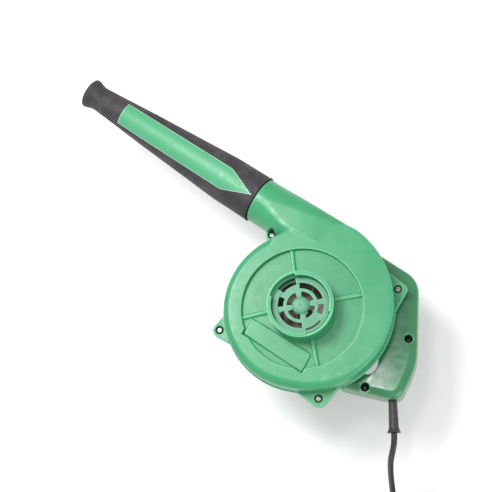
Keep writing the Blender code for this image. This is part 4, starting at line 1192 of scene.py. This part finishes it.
# The nozzle's outer radius along x
NOZZLE_STATIONS = (
    (NOZZLE_X + 0.0030, NOZZLE_BASE_R - 0.0006),
    (0.1545, 0.0258),
    (0.2063, 0.0224),
    (0.2594, 0.0190),
    (0.3020, 0.0158),
    (0.3290, 0.0138),
)
SOFT_FROM_X = 0.12  # from here on the bends between the stations are averaged


def nozzle_radius(x):
    """The nozzle's outer radius between its base and its neck."""
    for (x0, r0), (x1, r1) in zip(NOZZLE_STATIONS, NOZZLE_STATIONS[1:]):
        if x <= x1:
            return r0 + (r1 - r0) * (x - x0) / (x1 - x0)
    return NOZZLE_STATIONS[-1][1]


def blended_radius(x):
    """The outer radius averaged along 12 mm, so that the nozzle's bends are soft."""
    samples = [nozzle_radius(max(NOZZLE_STATIONS[0][0], x + 0.001 * step)) for step in range(-6, 7)]
    return sum(samples) / len(samples)


def nozzle_skin():
    """The rubber nozzle, with a thin base rim and a flared bead at its tip."""
    outer = [
        (NOZZLE_BASE_R - 0.0006, NOZZLE_X), (NOZZLE_BASE_R - 0.0001, NOZZLE_X + 0.0004),
        (NOZZLE_BASE_R, NOZZLE_X + 0.0010), (NOZZLE_BASE_R - 0.0002, NOZZLE_X + 0.0018),
        (NOZZLE_BASE_R - 0.0008, NOZZLE_X + 0.0024),
    ]
    steps = 70
    first, last = NOZZLE_X + 0.0034, 0.3285
    for step in range(steps + 1):
        x = first + (last - first) * step / steps
        outer.append((blended_radius(x) if x > SOFT_FROM_X else nozzle_radius(x), x))
    outer += [
        (0.0140, 0.3312), (0.0144, 0.3334), (0.0150, 0.3355), (0.0157, 0.3375),
        (0.0163, 0.3393), (0.0167, 0.3408), (0.0168, 0.3418), (0.0167, 0.3425),
        (0.0162, 0.3429), (0.0152, NOZZLE_TIP_X),
    ]
    inner = [
        (0.0122, NOZZLE_TIP_X), (0.0117, 0.34275), (0.0114, 0.3415), (0.0112, 0.3290),
        (0.0158 - NOZZLE_WALL, 0.3020), (0.0224 - NOZZLE_WALL, 0.2063), (0.0215, 0.1400),
        (SPIGOT_R + 0.0005, 0.1372), (SPIGOT_R + 0.0005, NOZZLE_X + 0.0004),
        (SPIGOT_R + 0.0009, NOZZLE_X),
    ]
    shape = aimed(turned(outer + inner, 128), (0, DUCT_Y, PARTING_Z), (1, 0, 0))
    body = make("nozzle_skin", shape, NOZZLE_RUBBER, 50.0)
    return stands_for(body, "nozzle", "nozzle_rubber", "nozzle")


LABEL_TILT = 11.0  # turned from straight up towards the tool's underside
LABEL_HALF = 0.0131
LABEL_POINT_X = 0.1145  # the pennant's point
LABEL_SHOULDER_X = 0.1480  # where it reaches its full width
LABEL_END_X = 0.2920


def label_width(x):
    """Half width of the pennant at x, along the curved surface."""
    share = (x - LABEL_POINT_X) / (LABEL_SHOULDER_X - LABEL_POINT_X)
    return LABEL_HALF * min(1.0, max(0.04, share))


def film(name, finish, inset, low, high):
    """A thin sheet bent round the nozzle, its edges moved in from the label's by inset."""
    rings = []
    start = LABEL_POINT_X + inset * 2.6
    end = LABEL_END_X - inset
    stations = [start + (end - start) * step / 96 for step in range(97)]
    for x in stations:
        radius = blended_radius(x)
        width = max(0.0003, label_width(x) - inset)
        spread = math.degrees(width / radius)
        points = []
        for lift, turns in ((low, range(-8, 9)), (high, range(8, -9, -1))):
            for turn in turns:
                y, z = polar(radius + lift, 90 - LABEL_TILT + spread * turn / 8)
                points.append((x, DUCT_Y + y, PARTING_Z + z))
        rings.append(points)
    return make(name, loft(rings), finish, 60.0)


def label():
    border = film("label_border", LABEL_EDGE, 0.0, 0.0001, 0.0004)
    stands_for(border, "nozzle", "label_film", "nozzle_label")
    face = film("label_face", LABEL_GREEN, 0.0007, 0.00045, 0.00055)
    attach(face, "nozzle")


# ------------------------------ supply cord


def armor():
    """The strain relief: a tapered sleeve with a trumpet end."""
    profile = [
        (0.0, -0.0115), (0.0041, -0.0115), (0.0041, -0.0092), (0.0070, -0.0092),
        (0.0070, -0.0058), (0.0041, -0.0058), (0.0041, 0.0008), (0.0044, 0.0012),
        (0.0046, 0.0100), (0.0049, 0.0200), (0.0051, ARMOR_L - 0.0070),
        (0.0054, ARMOR_L - 0.0046), (0.0060, ARMOR_L - 0.0026), (0.0069, ARMOR_L - 0.0010),
        (0.0074, ARMOR_L - 0.0005), (0.0072, ARMOR_L - 0.0001), (0.0064, ARMOR_L),
        (0.0040, ARMOR_L), (0.0036, ARMOR_L - 0.0010), (0.0034, ARMOR_L - 0.0040),
        (0.0, ARMOR_L - 0.0040),
    ]
    body = make("cord_sleeve", aimed(turned(profile, 48), CORD_EXIT, CORD_WAY), ARMOR_RUBBER, 50.0)
    return stands_for(body, "body", "cord_rubber", "cord_armor")


def smooth_route(points, spacing):
    """Points a fixed distance apart along a Catmull-Rom curve through the route."""
    route = [Vector(point) for point in points]
    ends = [2 * route[0] - route[1], *route, 2 * route[-1] - route[-2]]
    dense = []
    for a, b, c, d in zip(ends, ends[1:], ends[2:], ends[3:]):
        for step in range(20):
            t = step / 20
            linear = 2 * b + (c - a) * t
            square = (2 * a - 5 * b + 4 * c - d) * t * t
            cubic = (3 * b - a - 3 * c + d) * t**3
            dense.append(0.5 * (linear + square + cubic))
    dense.append(route[-1])
    length = sum((q - p).length for p, q in zip(dense, dense[1:]))
    count = round(length / spacing)
    picked = [dense[0]]
    run = 0.0
    for p, q in zip(dense, dense[1:]):
        run += (q - p).length
        if run >= length * len(picked) / count and len(picked) < count:
            picked.append(q)
    picked.append(dense[-1])
    return picked


# The coil's turns in order: columns count inwards from the outer turn, layers up from the lowest.
# Each line gives the angle at which the cord starts to change over, and the place it changes to.
CHANGEOVER = 30.0
COIL_END = 2250.0
COIL_PLACES = (
    (300.0, 0, 1),
    (630.0, 1, 1),
    (990.0, 2, 1),
    (1320.0, 2, 0),
    (1650.0, 1, 0),
    (2010.0, 0, 0),
)


def coil_place(angle):
    """Column and layer of the cord at an angle along the coil, as eased numbers."""
    column, layer = 0.0, 2.0
    for start, next_column, next_layer in COIL_PLACES:
        share = ease((angle - start) / CHANGEOVER)
        column += (next_column - column) * share
        layer += (next_layer - layer) * share
    return column, layer


def coil_turns():
    """The coil from the tangent point of its top outer turn to where it runs off to the plug."""
    points = []
    first = heading(-LAY_SIDE)
    step = 9.0
    for index in range(round(COIL_END / step) + 1):
        angle = index * step
        column, layer = coil_place(angle)
        x, y = polar(COIL_TURN_R - column * 2 * CORD_R, first + angle)
        z = COIL_LOW_Z + CORD_R * (1 + 2 * layer)
        points.append(Vector((COIL_AT.x + x, COIL_AT.y + y, z)))
    return points


def mains_cord():
    tail = [
        Vector((PLUG_AT.x, PLUG_AT.y, COIL_LOW_Z + CORD_R)) - (TAIL - along) * LAY_SIDE
        for along in (0.008, 0.016)
    ]
    end = Vector((PLUG_AT.x, PLUG_AT.y, PLUG_Z))
    points = smooth_route(CORD_ROUTE, 0.005)
    points += coil_turns()
    points += [tail[0] + Vector((0, 0, 0.0004)), tail[1] + Vector((0, 0, 0.0014)), end]
    line = bpy.data.curves.new("mains_cord", "CURVE")
    line.dimensions = "3D"
    line.bevel_depth = CORD_R
    line.bevel_resolution = 5
    line.use_fill_caps = True
    spline = line.splines.new("POLY")
    spline.points.add(len(points) - 1)
    for point, place in zip(spline.points, points):
        point.co = (*place, 1.0)
    spline.use_smooth = True
    cord = link("mains_cord", line)
    line.materials.append(CORD_PVC)
    length = sum((q - p).length for p, q in zip(points, points[1:]))
    print(f"mains cord: {length:.4f} m modelled")
    stands_for(cord, "body", "cord_rubber", "power_cord", "cord_coil")


def tie():
    """A flat strap round the coil's turns."""
    low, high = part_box("cord_tie")
    angle = 100.0
    middle_r = COIL_TURN_R - 2 * CORD_R
    thick = 0.0009
    half_w = 0.0034
    across = 3 * CORD_R + 0.0006 + thick
    tall = (high.z - low.z) / 2 - thick
    middle_z = (high.z + low.z) / 2
    corner = 0.0030
    section = rounded(
        (
            (-across, -tall, corner),
            (across, -tall, corner),
            (across, tall, corner),
            (-across, tall, corner),
        )
    )
    outer = offset(section, thick / 2)
    inner = offset(section, -thick / 2)
    shape = bmesh.new()
    loops = []
    for outline, side in ((outer, -1), (outer, 1), (inner, 1), (inner, -1)):
        loops.append([shape.verts.new((x, side * half_w, z)) for x, z in outline])
    for one, two in zip(loops, loops[1:] + loops[:1]):
        skin(shape, one, two)
    centre = Vector((COIL_AT.x, COIL_AT.y, 0)) + Vector((*polar(middle_r, angle), middle_z))
    place = Matrix.Translation(centre) @ Matrix.Rotation(math.radians(angle), 4, "Z")
    shape.transform(place)
    body = make("coil_strap", shape, BLACK_PLASTIC)
    bevelled(body, 0.00025)
    stands_for(body, "body", "black_plastic", "cord_tie")
    return body


def plug():
    """A flat two-pin plug with a ribbed sleeve at its cord end."""
    # Distance from the cord's end, half width, half height, and how square the section is
    sections = (
        (0.0000, 0.0040, 0.0040, 2.0),
        (0.0004, 0.0042, 0.0042, 2.0),
        (0.0120, 0.0050, 0.0050, 2.0),
        (0.0135, 0.0060, 0.0055, 2.1),
        (0.0155, 0.0084, 0.0062, 2.4),
        (0.0185, 0.0118, 0.0065, 2.8),
        (0.0220, 0.0147, 0.0066, 3.2),
        (0.0260, 0.0168, 0.0067, 3.7),
        (0.0300, 0.0176, 0.0067, 4.2),
        (0.0370, 0.0176, 0.0067, 4.4),
        (0.0440, 0.0176, 0.0067, 4.4),
        (0.0454, 0.0173, 0.0064, 4.4),
        (0.0460, 0.0166, 0.0058, 4.4),
    )
    start = Vector((PLUG_AT.x, PLUG_AT.y, PLUG_Z))
    across = LAY_SIDE.cross(Vector((0, 0, 1)))
    rings = []
    for along, wide, tall, power in sections:
        points = []
        for turn in range(64):
            x, z = polar(1.0, 360 * turn / 64)
            x = math.copysign(abs(x) ** (2 / power), x) * wide
            z = math.copysign(abs(z) ** (2 / power), z) * tall
            points.append(start + LAY_SIDE * along + across * x + Vector((0, 0, z)))
        rings.append(points)
    body = make("plug_shell", loft(rings))
    cuts = []
    turn = heading(LAY_SIDE)
    for side in (-1, 1):
        for step in range(5):
            at = start + LAY_SIDE * (0.0290 + 0.0026 * step) + across * side * 0.0178
            cuts.append(make("grip", box((0.0011, 0.0022, 0.010), at, turn)))
    for step in range(4):
        for side in (-1, 1):
            at = start + LAY_SIDE * (0.0030 + 0.0025 * step) + across * side * 0.0052
            cuts.append(make("sleeve_slot", box((0.0010, 0.0026, 0.004), at, turn)))
    combine(body, cuts, "DIFFERENCE")
    mould(body, BLACK_PLASTIC, FINE_GRAIN, 2)
    stands_for(body, "body", "black_plastic", "plug_body")
    pieces = [body]
    for name, node, side in (("pin_left", "plug_pin_left", 1), ("pin_right", "plug_pin_right", -1)):
        pin = [
            (0.0, 0.0463), (0.0020, 0.0463), (0.0020, 0.0634), (0.0018, 0.0644),
            (0.0013, 0.0650), (0.0006, 0.0653), (0.0, 0.0653),
        ]
        at = start + across * side * 0.0093
        prong = make(name, aimed(turned(pin, 32), at, LAY_SIDE), NICKEL)
        stands_for(prong, "body", "plated_pins", node)
        pieces.append(prong)
    return pieces


# ------------------------------ stage

EYE = Vector((-0.2791, 0.1731, 1.4796))
AIM = Vector((0.0899, -0.0285, PARTING_Z))
PICTURE_UP = Vector((0.5238, -0.8101, 0.2635))
LENS_MM = 95.76
SENSOR_MM = 36.0


def aim_at(item, target, up):
    """Turns an object's -Z axis to the target, with its +Y axis towards up."""
    back = (item.location - target).normalized()
    right = up.cross(back).normalized()
    item.matrix_world = Matrix.Translation(item.location) @ Matrix(
        (right, back.cross(right), back)
    ).transposed().to_4x4()


def camera():
    data = bpy.data.cameras.new("camera")
    data.lens = LENS_MM
    data.sensor_width = SENSOR_MM
    data.clip_end = 20.0
    item = link("camera", data)
    item.location = EYE
    aim_at(item, AIM, PICTURE_UP)
    bpy.context.scene.camera = item


def lamp(name, at, size, power):
    data = bpy.data.lights.new(name, "AREA")
    data.shape = "DISK"
    data.size = size
    data.energy = power
    item = link(name, data)
    item.location = at
    aim_at(item, Vector((0, 0, 0.1)), Vector((0, 1, 0.01)))


def stage():
    floor = make("floor", box((8.0, 8.0, 0.02), (0, 0, -0.01)))
    surface = Surface("floor_paper", (0.93, 0.93, 0.93), 0.8, specular=0.2)
    surface.bump(surface.noise(300, 2.0), 0.00005, 0.3)
    floor.data.materials.append(surface.made)
    world = bpy.data.worlds.new("studio")
    world.use_nodes = True
    world.node_tree.nodes["Background"].inputs["Color"].default_value = (1.0, 1.0, 1.0, 1.0)
    world.node_tree.nodes["Background"].inputs["Strength"].default_value = 0.85
    bpy.context.scene.world = world
    left = -(PICTURE_UP.cross(EYE - AIM)).normalized()
    towards = (EYE - AIM).normalized()
    up = PICTURE_UP.normalized()
    lamp("key", Vector((0.44, -0.02, 1.00)), 0.40, 7.5)
    lamp("fill", -left * 0.8 - up * 0.8 + towards * 0.6, 0.9, 6.0)
    lamp("glint", Vector((0.03, -0.035, 1.02)), 0.11, 0.9)
    bpy.context.scene.view_settings.view_transform = "Standard"


def build():
    camera()
    stage()
    strap = tie()
    plug_pieces = plug()
    mains_cord()
    armor()
    nozzle_skin()
    label()
    screws()
    trigger_key()
    lock_key()
    brush_caps()
    fan_wheel()
    guard()
    handle_shell()
    housing_shell()
    rear_shell()
    front_shell()
    finish_cad_nodes()


build()
